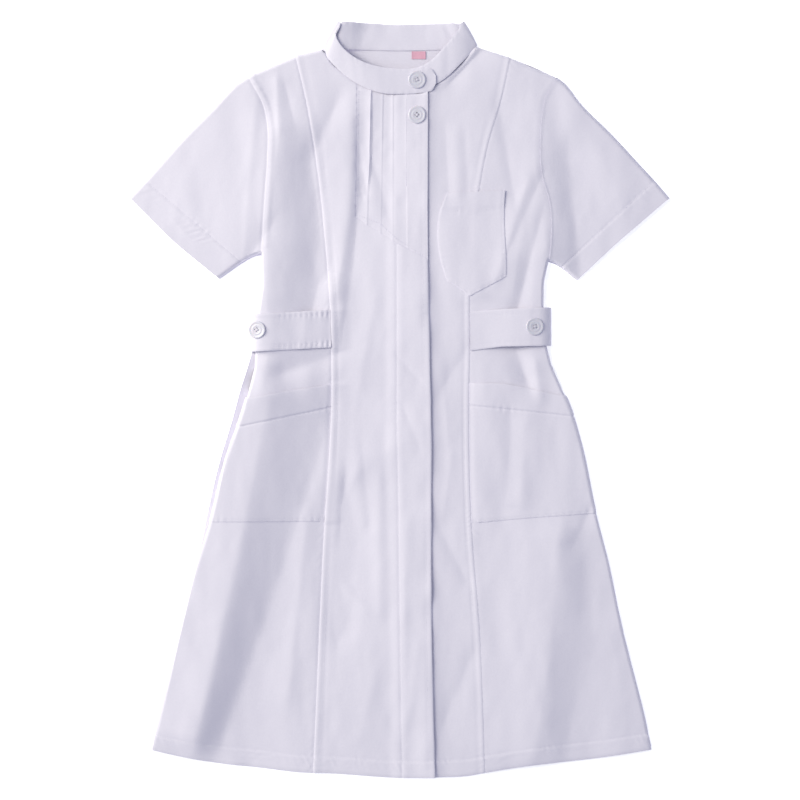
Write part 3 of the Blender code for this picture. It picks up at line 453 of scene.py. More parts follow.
def hem_relief(x, y, seed):
    """The hem: turned up, a little thicker up to its line of stitches, puckered, and rolled down."""
    over_hem = y - smooth(HEM, x)
    slant = x + 0.5 * over_hem
    gathers = 0.26 * pucker(slant, 8.0, seed) * bell((over_hem - 15) / 7)
    rolled = -0.8 * np.maximum(1 - np.maximum(over_hem, 0) / HEM_ROLL, 0) ** 2
    row = stitched_line(over_hem - HEM_DEPTH, slant, seed + 1, pull=0.3, gather=0.2)
    return HEM_RISE * turned_up(over_hem) + gathers + rolled + row


def wall_at_hem(x, y):
    """Thickness of a panel: one layer, and more where the hem is turned up."""
    return WALL + (HEM_WALL - WALL) * turned_up(y - smooth(HEM, x))


def edge_sink(x, y):
    return EDGE_SINK * (1 - roundness(x, y))


def feed(node, inputs):
    """Give a shader node its inputs: each is a value, or what another node puts out."""
    for socket, value in inputs.items():
        if isinstance(value, bpy.types.NodeSocket):
            node.id_data.links.new(value, node.inputs[socket])
        else:
            node.inputs[socket].default_value = value
    return node


def add(finish, kind, inputs, output, **settings):
    """Add a shader node to a finish and return one of its outputs."""
    node = finish.node_tree.nodes.new(f"ShaderNode{kind}")
    for setting, value in settings.items():
        setattr(node, setting, value)
    return feed(node, inputs).outputs[output]


def new_finish(name):
    """A new material, whose surface takes its look from the nodes added to it."""
    made = bpy.data.materials.new(name)
    made.use_nodes = True
    return made


def coated(finish, look):
    """Give a finish its look: what its surface takes in."""
    feed(finish.node_tree.nodes["Principled BSDF"], look)
    return finish


def blended(finish, dark, light, share):
    """A tone between two colours."""
    colours = {"A": (*dark, 1.0), "B": (*light, 1.0), "Factor": share}
    return add(finish, "Mix", colours, "Result", data_type="RGBA")


def wave_scale(pitch):
    """Scale of a wave texture whose bands are a pitch in millimetres apart."""
    return 2 * math.pi / (20 * pitch * MM)


def cloth_finish(name, light, dark, weave):
    """Plain-woven cloth: fine threads both ways, faint slubs, a little unevenness and a soft sheen."""
    made = new_finish(name)
    place = add(made, "TexCoord", {}, "Object")
    thread = {"Vector": place, "Scale": wave_scale(weave), "Distortion": 0.6, "Detail": 1.0}
    warp, weft = (add(made, "TexWave", thread, "Fac", bands_direction=way) for way in ("X", "Y"))
    crossing = add(made, "Math", {0: warp, 1: weft}, 0, operation="MULTIPLY")
    uneven = add(made, "TexNoise", {"Vector": place, "Scale": 75.0, "Detail": 4.0, "Roughness": 0.55}, "Fac")
    slubs = add(made, "TexNoise", {"Vector": place, "Scale": 420.0, "Detail": 2.0}, "Fac")
    crumple = add(made, "Bump", {"Strength": 1.0, "Distance": 0.22 * MM, "Height": uneven}, "Normal")
    grain = {"Strength": 0.5, "Distance": 0.05 * MM, "Height": crossing, "Normal": crumple}
    return coated(made, {
        "Base Color": blended(made, dark, light, slubs), "Normal": add(made, "Bump", grain, "Normal"),
        "Roughness": 0.86, "Specular IOR Level": 0.28, "Sheen Weight": 0.10, "Sheen Roughness": 0.45})


white_cloth = cloth_finish("uniform_cloth", light=(0.775, 0.755, 0.862), dark=(0.735, 0.715, 0.825),
                           weave=0.45)


def placed(name, data):
    """A new object in the scene."""
    made = bpy.data.objects.new(name, data)
    bpy.context.scene.collection.objects.link(made)
    return made


def mesh_object(name, bm):
    """A new object in the scene, made of a finished bmesh."""
    mesh = bpy.data.meshes.new(name)
    bm.to_mesh(mesh)
    bm.free()
    return placed(name, mesh)


def finish_piece(name, bm, finish, nodes, sharp=38):
    """Make an object of a mesh, give it its finish, and put it in the place of its nodes."""
    bmesh.ops.recalc_face_normals(bm, faces=bm.faces)
    piece = mesh_object(name, bm)
    piece.data.materials.append(finish)
    piece.data.shade_smooth()
    piece.data.set_sharp_from_angle(angle=math.radians(sharp))
    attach(piece, "root")
    if nodes:
        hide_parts(*nodes)
    return piece


def cloth_piece(name, inner, outer, finish=white_cloth, kept=None):
    """Close the space between an inner and an outer sheet of points."""
    rows, columns = inner.shape[:2]
    bm = bmesh.new()
    bmesh.ops.create_grid(bm, x_segments=columns - 1, y_segments=rows - 1, size=1.0)
    number = bm.verts.layers.int.new("number")
    for index, vertex in enumerate(bm.verts):
        vertex[number] = index
    if kept is not None:
        gone = [face for face, keep in zip(bm.faces, kept.ravel()) if not keep]
        bmesh.ops.delete(bm, geom=gone, context="FACES")
    raised = bmesh.ops.extrude_face_region(bm, geom=list(bm.faces), use_keep_orig=True)["geom"]
    upper = {item for item in raised if isinstance(item, bmesh.types.BMVert)}
    inner_places, outer_places = inner.reshape(-1, 3) * MM, outer.reshape(-1, 3) * MM
    for vertex in bm.verts:
        places = outer_places if vertex in upper else inner_places
        vertex.co = places[vertex[number]]
    return finish_piece(name, bm, finish, [name])


def laid_piece(name, surface, x, y, lift, wall, kept=None):
    """A piece of cloth over a surface: its outer face at a lift, its inner face a wall below that."""
    inner, outer = moved_out(surface, x, y, lift - wall), moved_out(surface, x, y, lift)
    return cloth_piece(name, inner, outer, kept=kept)


def front_part(rungs, rails):
    """Points of the front between two rungs and two rails."""
    rows = slice(rung_row(rungs[0]), rung_row(rungs[1]) + 1)
    columns = slice(rail_column(rails[0]), rail_column(rails[1]) + 1)
    return GRID_X[rows, columns].copy(), GRID_Y[rows, columns].copy()


STITCH = 2.3            # length of one stitch, and the pitch from one to the next
STITCH_PITCH = 3.1
THREAD = 0.42           # thread across


def thread_finish(name, colour):
    """Twisted polyester thread, a little brighter and glossier than the cloth."""
    made = new_finish(name)
    place = add(made, "TexCoord", {}, "Object")
    twisted = {"Vector": place, "Scale": wave_scale(0.4)}
    twist = add(made, "TexWave", twisted, "Fac", bands_direction="DIAGONAL")
    strands = add(made, "Bump", {"Distance": 0.05 * MM, "Height": twist}, "Normal")
    return coated(made, {"Base Color": (*colour, 1.0), "Normal": strands, "Roughness": 0.55})


white_thread = thread_finish("white_thread", (0.79, 0.775, 0.875))


def sew(name, lines, surface):
    """Rows of separate stitches that lie in a surface: each line is a list of (x, y) points."""
    one = bmesh.new()
    bmesh.ops.create_uvsphere(one, u_segments=6, v_segments=4, radius=1.0)
    corners = np.array([vertex.co for vertex in one.verts])
    faces = [[vertex.index for vertex in face.verts] for face in one.faces]
    one.free()
    stitches = []
    for line in lines:
        line = np.array(line, dtype=float)
        reached = distances(line)
        starts = (np.arange(max(int(reached[-1] // STITCH_PITCH), 1)) + 0.5) * STITCH_PITCH
        ends_at = np.stack([starts - STITCH / 2, starts + STITCH / 2])
        ends = surface(*(np.interp(ends_at, reached, axis) for axis in line.T))
        way = (ends[1] - ends[0]) / 2
        across = np.cross((0.0, 0.0, 1.0), way)
        across *= THREAD / 2 / np.linalg.norm(across, axis=1)[:, None]
        over = np.cross(way, across)
        over *= THREAD / 2 / np.linalg.norm(over, axis=1)[:, None]
        flat = corners[:, 0, None] * way[:, None] + corners[:, 1, None] * across[:, None]
        stitches.append(((ends[0] + ends[1]) / 2)[:, None] + flat + corners[:, 2, None] * over[:, None])
    places = np.concatenate(stitches).reshape(-1, 3) * MM
    firsts = range(0, len(places), len(corners))
    sides = [[first + corner for corner in face] for first in firsts for face in faces]
    mesh = bpy.data.meshes.new(name)
    mesh.from_pydata(places.tolist(), [], sides)
    bm = bmesh.new()
    bm.from_mesh(mesh)
    bpy.data.meshes.remove(mesh)
    return finish_piece(name, bm, white_thread, (), sharp=180)


def on_surface(lift, surface=height):
    """Places for stitches on a surface, at a lift over its inner side."""
    def places(x, y):
        return moved_out(surface, x, y, lift(x, y) if callable(lift) else np.full(np.shape(x), float(lift)))
    return places


GRID_X, GRID_Y = lay_out_grid()
ROLLED = rolled_edges(GRID_X, GRID_Y)
WHOLE = ("hem", "shoulder")
SEAM_DIP = {"right": 0.35, "left": 0.15}
ARMHOLE_GROOVE = {"right": 0.5, "left": 0.2}
ARMHOLE_ROLL = {"right": 0.6, "left": 0.15}


def hem_line(first_x, last_x, step=6.0):
    """Points of the hem's stitching between two places across the dress."""
    x = np.arange(first_x, last_x, step)
    return np.stack([x, smooth(HEM, x) + HEM_DEPTH], axis=1)


def side_front_lift(side):
    """Outer face of a side front over its inner face: it dips at its princess seam and its armhole."""
    sign, seed = (-1, 20) if side == "right" else (1, 30)
    armpit_y = RUNGS["inset_foot"].heights[0 if side == "right" else -1]

    def lift(x, y):
        from_seam = (x - rail_x(f"princess_{side}", y)) * sign
        from_armhole = (rail_x(f"side_{side}", y) - x) * sign
        dip = -SEAM_DIP[side] * bell(np.maximum(from_seam, 0) / 1.8)
        gathers = 0.16 * pucker(y + from_seam, 11.0, seed) * bell(from_seam / 7)
        groove = -ARMHOLE_GROOVE[side] * bell(from_armhole / 1.2)
        roll = ARMHOLE_ROLL[side] * bell((from_armhole - 5.5) / 3.2) * (1 + 0.4 * pucker(y, 9.0, seed + 5))
        at_armhole = smooth_step(armpit_y - 2, armpit_y + 12, y)
        return (CLOTH - edge_sink(x, y) + dip + gathers + (groove + roll) * at_armhole
                + hem_relief(x, y, seed))

    return lift


for side, under, underlap, hem_row, area in (("right", -1, UNDERLAP, (-292, -106), 0.102),
                                             ("left", 0, -UNDERLAP, (106, 296), 0.108)):
    x, y = front_part(WHOLE, SIDE_RAILS[side])
    x[:, under] += underlap
    lift = side_front_lift(side)
    panel = laid_piece(f"side_front_{side}", height, x, y, lift(x, y), wall_at_hem(x, y))
    hem_stitches = sew(f"hem_stitches_side_{side}", [hem_line(*hem_row)], on_surface(lift))

# --------------------------------------------------------------------
# Centre fronts: the left one is plain and lies under the right one, whose edge is folded into a
# placket that stands a little open. Both are sewn on the side fronts with a welt and a second row.

PLACKET_LIFT = 1.6      # of the right front where it lies on the left one
PLACKET_EDGE_LIFT = 0.9 # how far the placket's free edge stands up besides
LIFT_RUN = 16.0         # width over which the right front climbs on to the left one
PLACKET = 2.2           # outer face of the folded placket over its inner face
PLACKET_WALL = 1.7      # thickness shown of the folded placket
WELT = {"right": 7.6, "left": 6.6}      # from the princess seam to the second row of stitches
WELT_RISE = {"right": 0.45, "left": 0.30}
CAUGHT_RISE = 1.2       # more cloth in the seam where it holds a pocket or a tab
NECK_UNDERLAP = 2.4     # seam allowance of the fronts under the collar
LEFT_RISE = 0.7         # the left front rises under the placket's edge
LEFT_FALL = 9.0         # and falls away beside it over this width
EDGE_ROW = 6.6          # from the placket's free edge to the row of stitches along it
INNER_ROW = [(366, 8.2), (252, 8.2), (246, -1), (190, -3.6), (-24, -3.6), (-120, -1.8), (-330, 0.8),
             (-450, 3)]        # the row of stitches along the placket's inner edge: (y, x)


def rounded_edge(away, drop=0.5, width=1.3):
    """A folded or turned edge rounds down to what it lies on."""
    return -drop * (1 - smooth_step(0.0, width, away))


def placket_lift(x, y):
    """Lift of the right front: it climbs on to the left front, and its free edge stands up."""
    inner_x, edge_x = rail_x("placket_inner", y), rail_x("placket_edge", y)
    on_top = smooth_step(inner_x - LIFT_RUN, inner_x - 2, x)
    at_edge = smooth_step(inner_x + 6, edge_x, x)
    edge_lift = PLACKET_EDGE_LIFT + 0.8 * smooth_step(60, -60, y) + 0.8 * smooth_step(-340, -450, y)
    return PLACKET_LIFT * on_top + edge_lift * at_edge


def caught(y):
    """One where a pocket or a tab is caught in the princess seam."""
    at_tab = smooth_step(56, 64, y) * smooth_step(114, 106, y)
    at_pocket = smooth_step(-152, -144, y) * smooth_step(24, 17, y)
    return at_tab + at_pocket


def folded(x, y):
    """One where the right front is folded double for the placket."""
    inner_x = rail_x("placket_inner", y)
    return smooth_step(inner_x - 4, inner_x + 7, x)


def welt(from_seam, run, side, seed):
    """A raised strip beside a princess seam, with a second row of stitches and small slanting gathers."""
    width, rise = WELT[side], WELT_RISE[side]
    strip = rise * (1 - smooth_step(width - 0.6, width + 2.2, from_seam))
    strip = strip + rounded_edge(from_seam, rise + 0.25, 1.5)
    slant = 0.16 * pucker(run + from_seam * 0.9, 5.4, seed) * bell((from_seam - width / 2) / 4)
    return strip + slant + stitched_line(from_seam - width, run, seed + 1, pull=0.75, gather=0.12)


def inner_row_x(y):
    row_y, row_x = np.array(INNER_ROW).T
    return np.interp(-y, -row_y, row_x)


def front_right_lift(x, y):
    """Outer face of the right front over its inner face, with its welt, rows of stitches and free edge."""
    from_seam = x - rail_x("princess_right", y)
    from_edge = rail_x("placket_edge", y) - x
    lift = placket_lift(x, y) + CLOTH + (PLACKET - CLOTH) * folded(x, y) + hem_relief(x, y, 40)
    lift = lift + welt(from_seam, y, "right", 42)
    beside_seam = 1 - smooth_step(WELT["right"] - 1, WELT["right"] + 18, from_seam)
    lift = lift + CAUGHT_RISE * caught(y) * beside_seam
    lift = lift + stitched_line(x - inner_row_x(y), y, 44, pull=0.30, gather=0.14, pitch=10)
    lift = lift + stitched_line(from_edge - EDGE_ROW, y, 46, pull=0.20, gather=0.10, pitch=9)
    wavy_edge = 1.3 * soft_noise(0 * y, y, 30, 30, 48) * bell(from_edge / 9)
    return lift + wavy_edge + rounded_edge(from_edge, 0.6, 1.2)


def front_left_lift(x, y):
    """Outer face of the left front: it rises under the placket and falls away beside it."""
    from_seam = rail_x("princess_left", y) - x
    inner_x, edge_x = rail_x("placket_inner", y), rail_x("placket_edge", y)
    under = smooth_step(inner_x + 2, edge_x, x)
    fall = LEFT_FALL * (1 + 0.35 * soft_noise(0 * y, y, 30, 42, 56))
    beside = bell(np.maximum(x - edge_x - 1, 0) / fall)
    rise = LEFT_RISE * under * beside * (1 + 0.22 * soft_noise(0 * y, y, 30, 27, 58))
    return CLOTH + rise + welt(from_seam, y, "left", 52) + hem_relief(x, y, 54)


def tuck_under_collar(x, y, lift):
    """Run the last row of a front on under the collar, a little lower."""
    at_neck = smooth_step(92, 88, np.abs(x[-1]))
    y[-1] += NECK_UNDERLAP * at_neck
    lift[-1] -= 1.0 * at_neck


x, y = front_part(WHOLE, ("princess_right", "placket_edge"))
kept = np.ones((x.shape[0] - 1, x.shape[1] - 1), dtype=bool)
kept[rung_row("inset_foot"):, rail_column("inset_side") - rail_column("princess_right"):] = False
lift = front_right_lift(x, y)
tuck_under_collar(x, y, lift)
wall = wall_at_hem(x, y) + (PLACKET_WALL - WALL) * folded(x, y)
front_right = laid_piece("front_right", height, x, y, lift, wall, kept)

x, y = front_part(WHOLE, ("placket_inner", "princess_left"))
lift = front_left_lift(x, y)
tuck_under_collar(x, y, lift)
front_left = laid_piece("front_left", height, x, y, lift, wall_at_hem(x, y))


def rail_line(rail, top, foot, shift, step=8.0):
    """Points of a line of stitches that runs beside a seam."""
    y = np.arange(top, foot, -step)
    return np.stack([rail_x(rail, y) + shift, y], axis=1)


def inner_row_line(top, foot, step=6.0):
    y = np.arange(top, foot, -step)
    return np.stack([inner_row_x(y), y], axis=1)


right_rows = sew("stitches_front_right", [
    rail_line("princess_right", 400, -424, WELT["right"]),
    rail_line("placket_edge", 160, -440, -EDGE_ROW),
    inner_row_line(176, -440),
    hem_line(-92, 34),
], on_surface(front_right_lift))
left_rows = sew("stitches_front_left", [
    rail_line("princess_left", 402, 262, -WELT["left"]),
    rail_line("princess_left", 122, -424, -WELT["left"]),
    hem_line(48, 94),
], on_surface(front_left_lift))

# --------------------------------------------------------------------
# Pleated inset: a yoke piece at the top of the right front, with four pressed tucks that run from the
# collar to the slanting seam at its foot. The first tuck stands open at the chest.

TUCKS = [(-34.0, -39.0), (-20.0, -22.5), (-8.0, -8.0), (8.0, 8.5)]      # x at the neck and at the foot
TUCK_RISES = (0.95, 0.55, 0.55, 0.75)
TUCK_DROP = 1.1         # from a tuck's edge to the cloth below it
FIRST_TUCK_OPENS = 1.5  # how far the first tuck's edge stands up where it is open
FIRST_TUCK_GAP = 2.2
OPENS_AT, OPENS_RUN = 0.62, 0.28        # where it stands open, as shares of the inset's height
INSET_RISE = 0.8        # of the flat strip between the last tuck and the free edge
INSET_WALL = 0.85
INSET_ROW = 2.0         # from the inset's side seam to its row of stitches
FOOT_UNDERLAP = 0.8     # seam allowance under the edge of the right front
CELLS_PER_TUCK = 9


def inset_relief(x, y, over_foot):
    """Stitched edges of the inset, and the small pulls below the collar and beside the button."""
    from_side = x - rail_x("inset_side", y)
    from_edge = rail_x("placket_edge", y) - x
    relief = stitched_line(from_side - INSET_ROW, y, 60, pull=0.35, gather=0.42, pitch=9)
    relief = relief + stitched_line(from_edge - EDGE_ROW, y, 62, pull=0.15, gather=0.1)
    relief = relief + stitched_line(over_foot - 2.5, x, 64, pull=0.3, gather=0.12)
    return relief + 0.25 * soft_noise(x, y, 9, 13, 66)


border_x, border_y = front_part(("inset_foot", "shoulder"), ("inset_side", "placket_edge"))
up = np.linspace(0.0, 1.0, border_x.shape[0])
opened = bell((up - OPENS_AT) / OPENS_RUN)
ends = [foot_x + (neck_x - foot_x) * up for neck_x, foot_x in TUCKS]
starts = [border_x[:, 0], *(end + TUCK_DROP for end in ends)]
starts[1] = starts[1] + FIRST_TUCK_GAP * opened
ends.append(border_x[:, -1])
columns, rises = [], []
for strip, (start, end) in enumerate(zip(starts, ends)):
    last = strip == len(TUCKS)
    for share in crowded(2 * CELLS_PER_TUCK if last else CELLS_PER_TUCK):
        columns.append(start + (end - start) * share)
        rise = INSET_RISE if last else TUCK_RISES[strip] * (0.35 * share + 0.65 * share ** 4)
        pressed = 1.0 if last else 0.5 + 0.5 * smooth_step(0.35, 0.8, up)
        extra = FIRST_TUCK_OPENS * opened * share ** 3 if strip == 0 else 0.0
        rises.append(rise * pressed + np.zeros(up.shape) + extra)
x = np.stack(columns, axis=1)
y = np.stack([np.interp(row, xs, ys) for row, xs, ys in zip(x, border_x, border_y)])
y[0] -= FOOT_UNDERLAP
inset_height = RUNGS["shoulder"].heights[4] - RUNGS["inset_foot"].heights[4]
relief = inset_relief(x, y, (up[:, None] + 0 * x) * inset_height)
lift = placket_lift(x, y) + CLOTH + np.stack(rises, axis=1) + relief
tuck_under_collar(x, y, lift)
inset = laid_piece("pleated_inset", height, x, y, lift, INSET_WALL)

foot_seam = [(-50, 222), (-24, 212), (-2, 192), (16, 181), (29, 172.5)]
inset_rows = sew("stitches_inset", [
    rail_line("inset_side", 372, 224, INSET_ROW),
    foot_seam,
    inner_row_line(362, 252),
], on_surface(lambda x, y: placket_lift(x, y) + CLOTH + INSET_RISE))

# --------------------------------------------------------------------
# Back: one large panel that lies flat on the surface under everything else. It shows beside the right
# side seam, and inside the neck, where its facing is sewn down.

BACK_SIDE_RIGHT = [(175, -166), (120, -167), (98, -172), (59, -177), (41, -182), (13, -191), (-24, -201),
                   (-70, -215), (-128, -229), (-192, -242), (-263, -259), (-350, -279), (-418, -299)]
BACK_FACING = [(-93, 415), (-50, 406), (0, 402), (50, 406), (93, 415)]
BACK_NECK = 421.6
BACK_HEM_DIP = 31.0     # how far the hem hangs down in its middle
BACK_HEM_IN = 4.0       # the back's hem lies a little higher than the front's
BACK_HEM_ROWS = 12
BACK_CLOTH = 0.95       # height of its upper face
FACING_RISE = 0.2
BACK_EDGE_RISE = 2.3    # the back's right edge curls up where it shows below the waist
BACK_EDGE_CURL = 3.5
BACK_CELLS = 72
BACK_ROW_STEP = 2       # every second row of the front's layout is enough for the back

share = np.linspace(0.0, 1.0, BACK_CELLS + 1)
top, armpit = rung_row("shoulder"), rung_row("inset_foot")
back_rows = []
for row in [*range(0, top, BACK_ROW_STEP), top]:
    left_y, right_y = GRID_Y[row, 0], GRID_Y[row, -1]
    left_x = GRID_X[row, 0] if row >= armpit else float(smooth(BACK_SIDE_RIGHT, left_y))
    right_x = GRID_X[row, -1]
    at_hem = max(0.0, 1 - row / RUNGS["hem"].rows)
    at_neck = max(0.0, (row - armpit) / (top - armpit))
    x = left_x + (right_x - left_x) * share
    straight_y = left_y + (right_y - left_y) * share
    neck_y = np.interp(x, [left_x, NECKLINE[0][0], NECKLINE[-1][0], right_x],
                       [left_y, BACK_NECK, BACK_NECK, right_y])
    y = straight_y - BACK_HEM_DIP * at_hem * np.sin(math.pi * share) ** 0.8
    y = y + BACK_HEM_IN * max(0.0, 1 - row / BACK_HEM_ROWS)
    y = y + (neck_y - straight_y) * at_neck ** 2
    back_rows.append(np.stack([x, y, 0 * x], axis=-1))
under = np.array(back_rows)
x, y = under[:, :, 0], under[:, :, 1]
over_facing = y - np.interp(x, *np.array(BACK_FACING).T)
beside_front = smooth_step(-160, -90, y) * smooth_step(57, 48, y)
over = under.copy()
over[:, :, 2] = BACK_CLOTH + FACING_RISE * smooth_step(-1, 1, over_facing)
over[:, :, 2] += 0.12 * soft_noise(x, y, 16, 12, 70)
over[:, :, 2] += BACK_EDGE_RISE * beside_front * np.exp(-(x - x[:, :1]) / BACK_EDGE_CURL)
back = cloth_piece("back", under, over)

# --------------------------------------------------------------------
# Sleeves: short set-in sleeves, each a flattened tube with one seam under the arm, folded along its
# outer edge, and a deep hem sewn with one row of stitches.

FOLD_OUT, FOLD_IN = 1.0, 0.4    # a folded edge stands out by about half of its two walls
SLEEVE_BODY = 44        # rings from the armhole to the hem's stitches
SLEEVE_CUFF = 16
SLEEVE_WIDTH = 140.0
SLEEVE_AT_ARMHOLE = {"right": -0.45, "left": 0.45}
CUFF_RISE = 0.35
CUFF_WALL = 1.0


def patch(first, last, first_side, last_side, at):
    """Points across a four-sided area: two opposite edges and the curves that join their ends."""
    u, v = at[:, None, None], shares(first)[None, :, None]
    side_a, side_b = (along(line, at)[:, None, :] for line in (first_side, last_side))
    edges = (1 - u) * first[None] + u * last[None] + (1 - v) * side_a + v * side_b
    corners = (1 - u) * ((1 - v) * first[0] + v * first[-1]) + u * ((1 - v) * last[0] + v * last[-1])
    return edges - corners


def fold(plan, edge, inside, out, upper, lower):
    """Two points round a folded edge, between the upper wall and the lower one."""
    way = plan[:, edge] - plan[:, inside]
    place = plan[:, edge] + way / np.linalg.norm(way, axis=1)[:, None] * out
    return [np.concatenate([place, upper[:, edge, 2:] * (1 - t) + lower[:, edge, 2:] * t], axis=1)[:, None]
            for t in (0.3, 0.7)]


def rings(plan, out, upper, lower):
    """Rings round a flattened tube: across its upper wall and back across its lower one."""
    return np.concatenate([upper, *fold(plan, -1, -2, out, upper, lower), lower[:, ::-1],
                           *fold(plan, 0, 1, out, upper, lower)[::-1]], axis=1)


def skin(loops):
    """A mesh through rows of points, with the points that meet joined."""
    bm = bmesh.new()
    bmesh.ops.create_grid(bm, x_segments=loops.shape[1] - 1, y_segments=loops.shape[0] - 1, size=1.0)
    for vertex, place in zip(bm.verts, loops.reshape(-1, 3) * MM):
        vertex.co = place
    bmesh.ops.remove_doubles(bm, verts=bm.verts, dist=1e-7)
    return bm


for side, column, lines, seed in (("right", 0, SLEEVE_RIGHT, 80), ("left", -1, SLEEVE_LEFT, 90)):
    armhole = np.stack([GRID_X[armpit:top + 1, column], GRID_Y[armpit:top + 1, column]], axis=-1)[::-1]
    share = shares(armhole)
    stitched = np.outer(1 - share, lines["outer"][-1]) + np.outer(share, lines["under"][-1])
    cuff = along(lines["cuff"], share)
    body = patch(armhole, stitched, lines["outer"], lines["under"], crowded(SLEEVE_BODY))
    toward_cuff = np.linspace(0, 1, SLEEVE_CUFF + 1)[1:, None, None]
    plan = np.concatenate([body, stitched[None] + (cuff - stitched)[None] * toward_cuff])
    x, y = plan[:, :, 0], plan[:, :, 1]

    past_row = np.hypot(x - stitched[:, 0], y - stitched[:, 1])
    past_row = np.where(np.arange(len(plan))[:, None] > SLEEVE_BODY, past_row, -past_row)
    from_armhole = np.hypot(x - armhole[:, 0], y - armhole[:, 1])
    run = share * SLEEVE_WIDTH + 0 * x
    relief = CUFF_RISE * smooth_step(-1.0, 1.0, past_row) + stitched_line(past_row, run, seed, gather=0.2)
    relief = relief + 0.24 * pucker(run + 0.5 * past_row, 7.5, seed + 1) * bell((past_row - 8) / 7)
    relief = relief + SLEEVE_AT_ARMHOLE[side] * bell(from_armhole / 2.2)
    lift = CLOTH - edge_sink(x, y) + relief
    wall = WALL + (CUFF_WALL - WALL) * smooth_step(-1, 1, past_row)
    outer = rings(plan, FOLD_OUT, moved_out(height, x, y, lift), np.stack([x, y, 0 * x], axis=-1))
    inner = rings(plan, FOLD_IN, moved_out(height, x, y, lift - wall), np.stack([x, y, wall], axis=-1))
    loops = np.concatenate([outer, inner[::-1], outer[:1]])
    loops = np.concatenate([loops, loops[:, :1]], axis=1)
    sleeve = finish_piece(f"sleeve_{side}", skin(loops), white_cloth, [f"sleeve_{side}"])
    sleeve_rows = sew(f"stitches_sleeve_{side}", [stitched[6:-6]], on_surface(CLOTH - 0.05))

# --------------------------------------------------------------------
# Pockets: a pointed patch pocket on the chest, over the left princess seam, and two wide ones on the
# hips, sewn in with the side seams and princess seams. Each has a folded band at its mouth.

POCKET_LIFT = 2.25      # outer face over the inner face of the front
POCKET_CLOTH = 0.8      # thickness shown
BAND_RISE = 0.45        # of the folded band at a pocket's mouth
BAND_ROW = 0.6          # from the band's foot down to its row of stitches
HIP_MOUTH = (-30.0, 14.0)       # y where a hip pocket starts to stand open, and where it is fully open
HIP_MOUTH_OPENS = 1.1
HIP_ROW = 2.2           # from the pocket's edge to its row of stitches
CHEST_RAILS = ("pocket_inner", "pocket_outer")
CHEST_BAND = [(49, 229), (88, 227), (127, 232)]
CHEST_MOUTH_OPENS = 0.7
CHEST_ROW = 2.4


def rung_height(name, rails, x):
    """y of a rung at x, between two rails."""
    first, last = (RAIL_NAMES.index(rail) for rail in rails)
    crossings = [(float(rail_x(rail, y)), y) for rail, y in zip(RAILS, RUNGS[name].heights)]
    return np.interp(x, *np.array(crossings[first:last + 1]).T)


def rung_line(rung, rails, reach, over, step):
    """Points of a line of stitches that runs beside a rung."""
    x = np.arange(*reach, step)
    return np.stack([x, rung_height(rung, rails, x) + over], axis=1)


def hip_pocket_lift(side, seed):
    """Outer face of a hip pocket over the front's inner face: banded, and a little open at its mouth."""
    rails = SIDE_RAILS[side]

    def lift(x, y):
        over_band = y - rung_height("hip_pocket_band", rails, x)
        over_foot = y - rung_height("hip_pocket_foot", rails, x)
        under_mouth = rung_height("hip_pocket_mouth", rails, x) - y
        from_seam = x - rail_x(f"princess_{side}", y)
        relief = BAND_RISE * smooth_step(-0.8, 0.8, over_band)
        relief = relief + stitched_line(over_band + BAND_ROW, x, seed, pull=0.5, gather=0.22, spread=4.5)
        relief = relief + stitched_line(over_foot - HIP_ROW, x, seed + 1, pull=0.3, gather=0.3, spread=4.5)
        relief = relief + rounded_edge(over_foot, 0.6) + rounded_edge(under_mouth, 0.3)
        opened = HIP_MOUTH_OPENS * smooth_step(*HIP_MOUTH, y) * roundness(x, y) * (1 - bell(from_seam / 14))
        return POCKET_LIFT + opened - edge_sink(x, y) + relief - 0.9 * bell(from_seam / 4)

    return lift


for side, reach, seed in (("right", (-190, -86), 100), ("left", (90, 204), 110)):
    x, y = front_part(("hip_pocket_foot", "hip_pocket_mouth"), SIDE_RAILS[side])
    lift = hip_pocket_lift(side, seed)
    pocket = laid_piece(f"hip_pocket_{side}", height, x, y, lift(x, y), POCKET_CLOTH)
    pocket_rows = sew(f"stitches_hip_pocket_{side}", [
        rung_line("hip_pocket_band", SIDE_RAILS[side], reach, -BAND_ROW, 5.0),
        rung_line("hip_pocket_foot", SIDE_RAILS[side], reach, HIP_ROW, 5.0),
    ], on_surface(lift))


def chest_band_y(x):
    return np.interp(x, *np.array(CHEST_BAND).T)


def chest_pocket_lift(x, y):
    """Outer face of the chest pocket over the front's inner face, stitched along its sides and foot."""
    over_band = y - chest_band_y(x)
    over_foot = y - rung_height("chest_pocket_foot", CHEST_RAILS, x)
    over_mouth = y - rung_height("chest_pocket_mouth", CHEST_RAILS, x)
    from_inner, from_outer = x - rail_x("pocket_inner", y), rail_x("pocket_outer", y) - x
    relief = BAND_RISE * smooth_step(-0.8, 0.8, over_band)
    relief = relief + stitched_line(over_band + BAND_ROW, x, 120, pull=0.4, gather=0.2)
    for away, run, seed in ((over_foot, x, 122), (from_inner, y, 124), (from_outer, y, 126)):
        relief = relief + stitched_line(away - CHEST_ROW, run, seed, pull=0.25, gather=0.15)
    relief = relief + rounded_edge(over_foot) + rounded_edge(from_inner) + rounded_edge(from_outer)
    return POCKET_LIFT + CHEST_MOUTH_OPENS * smooth_step(-40, 0, over_mouth) + relief


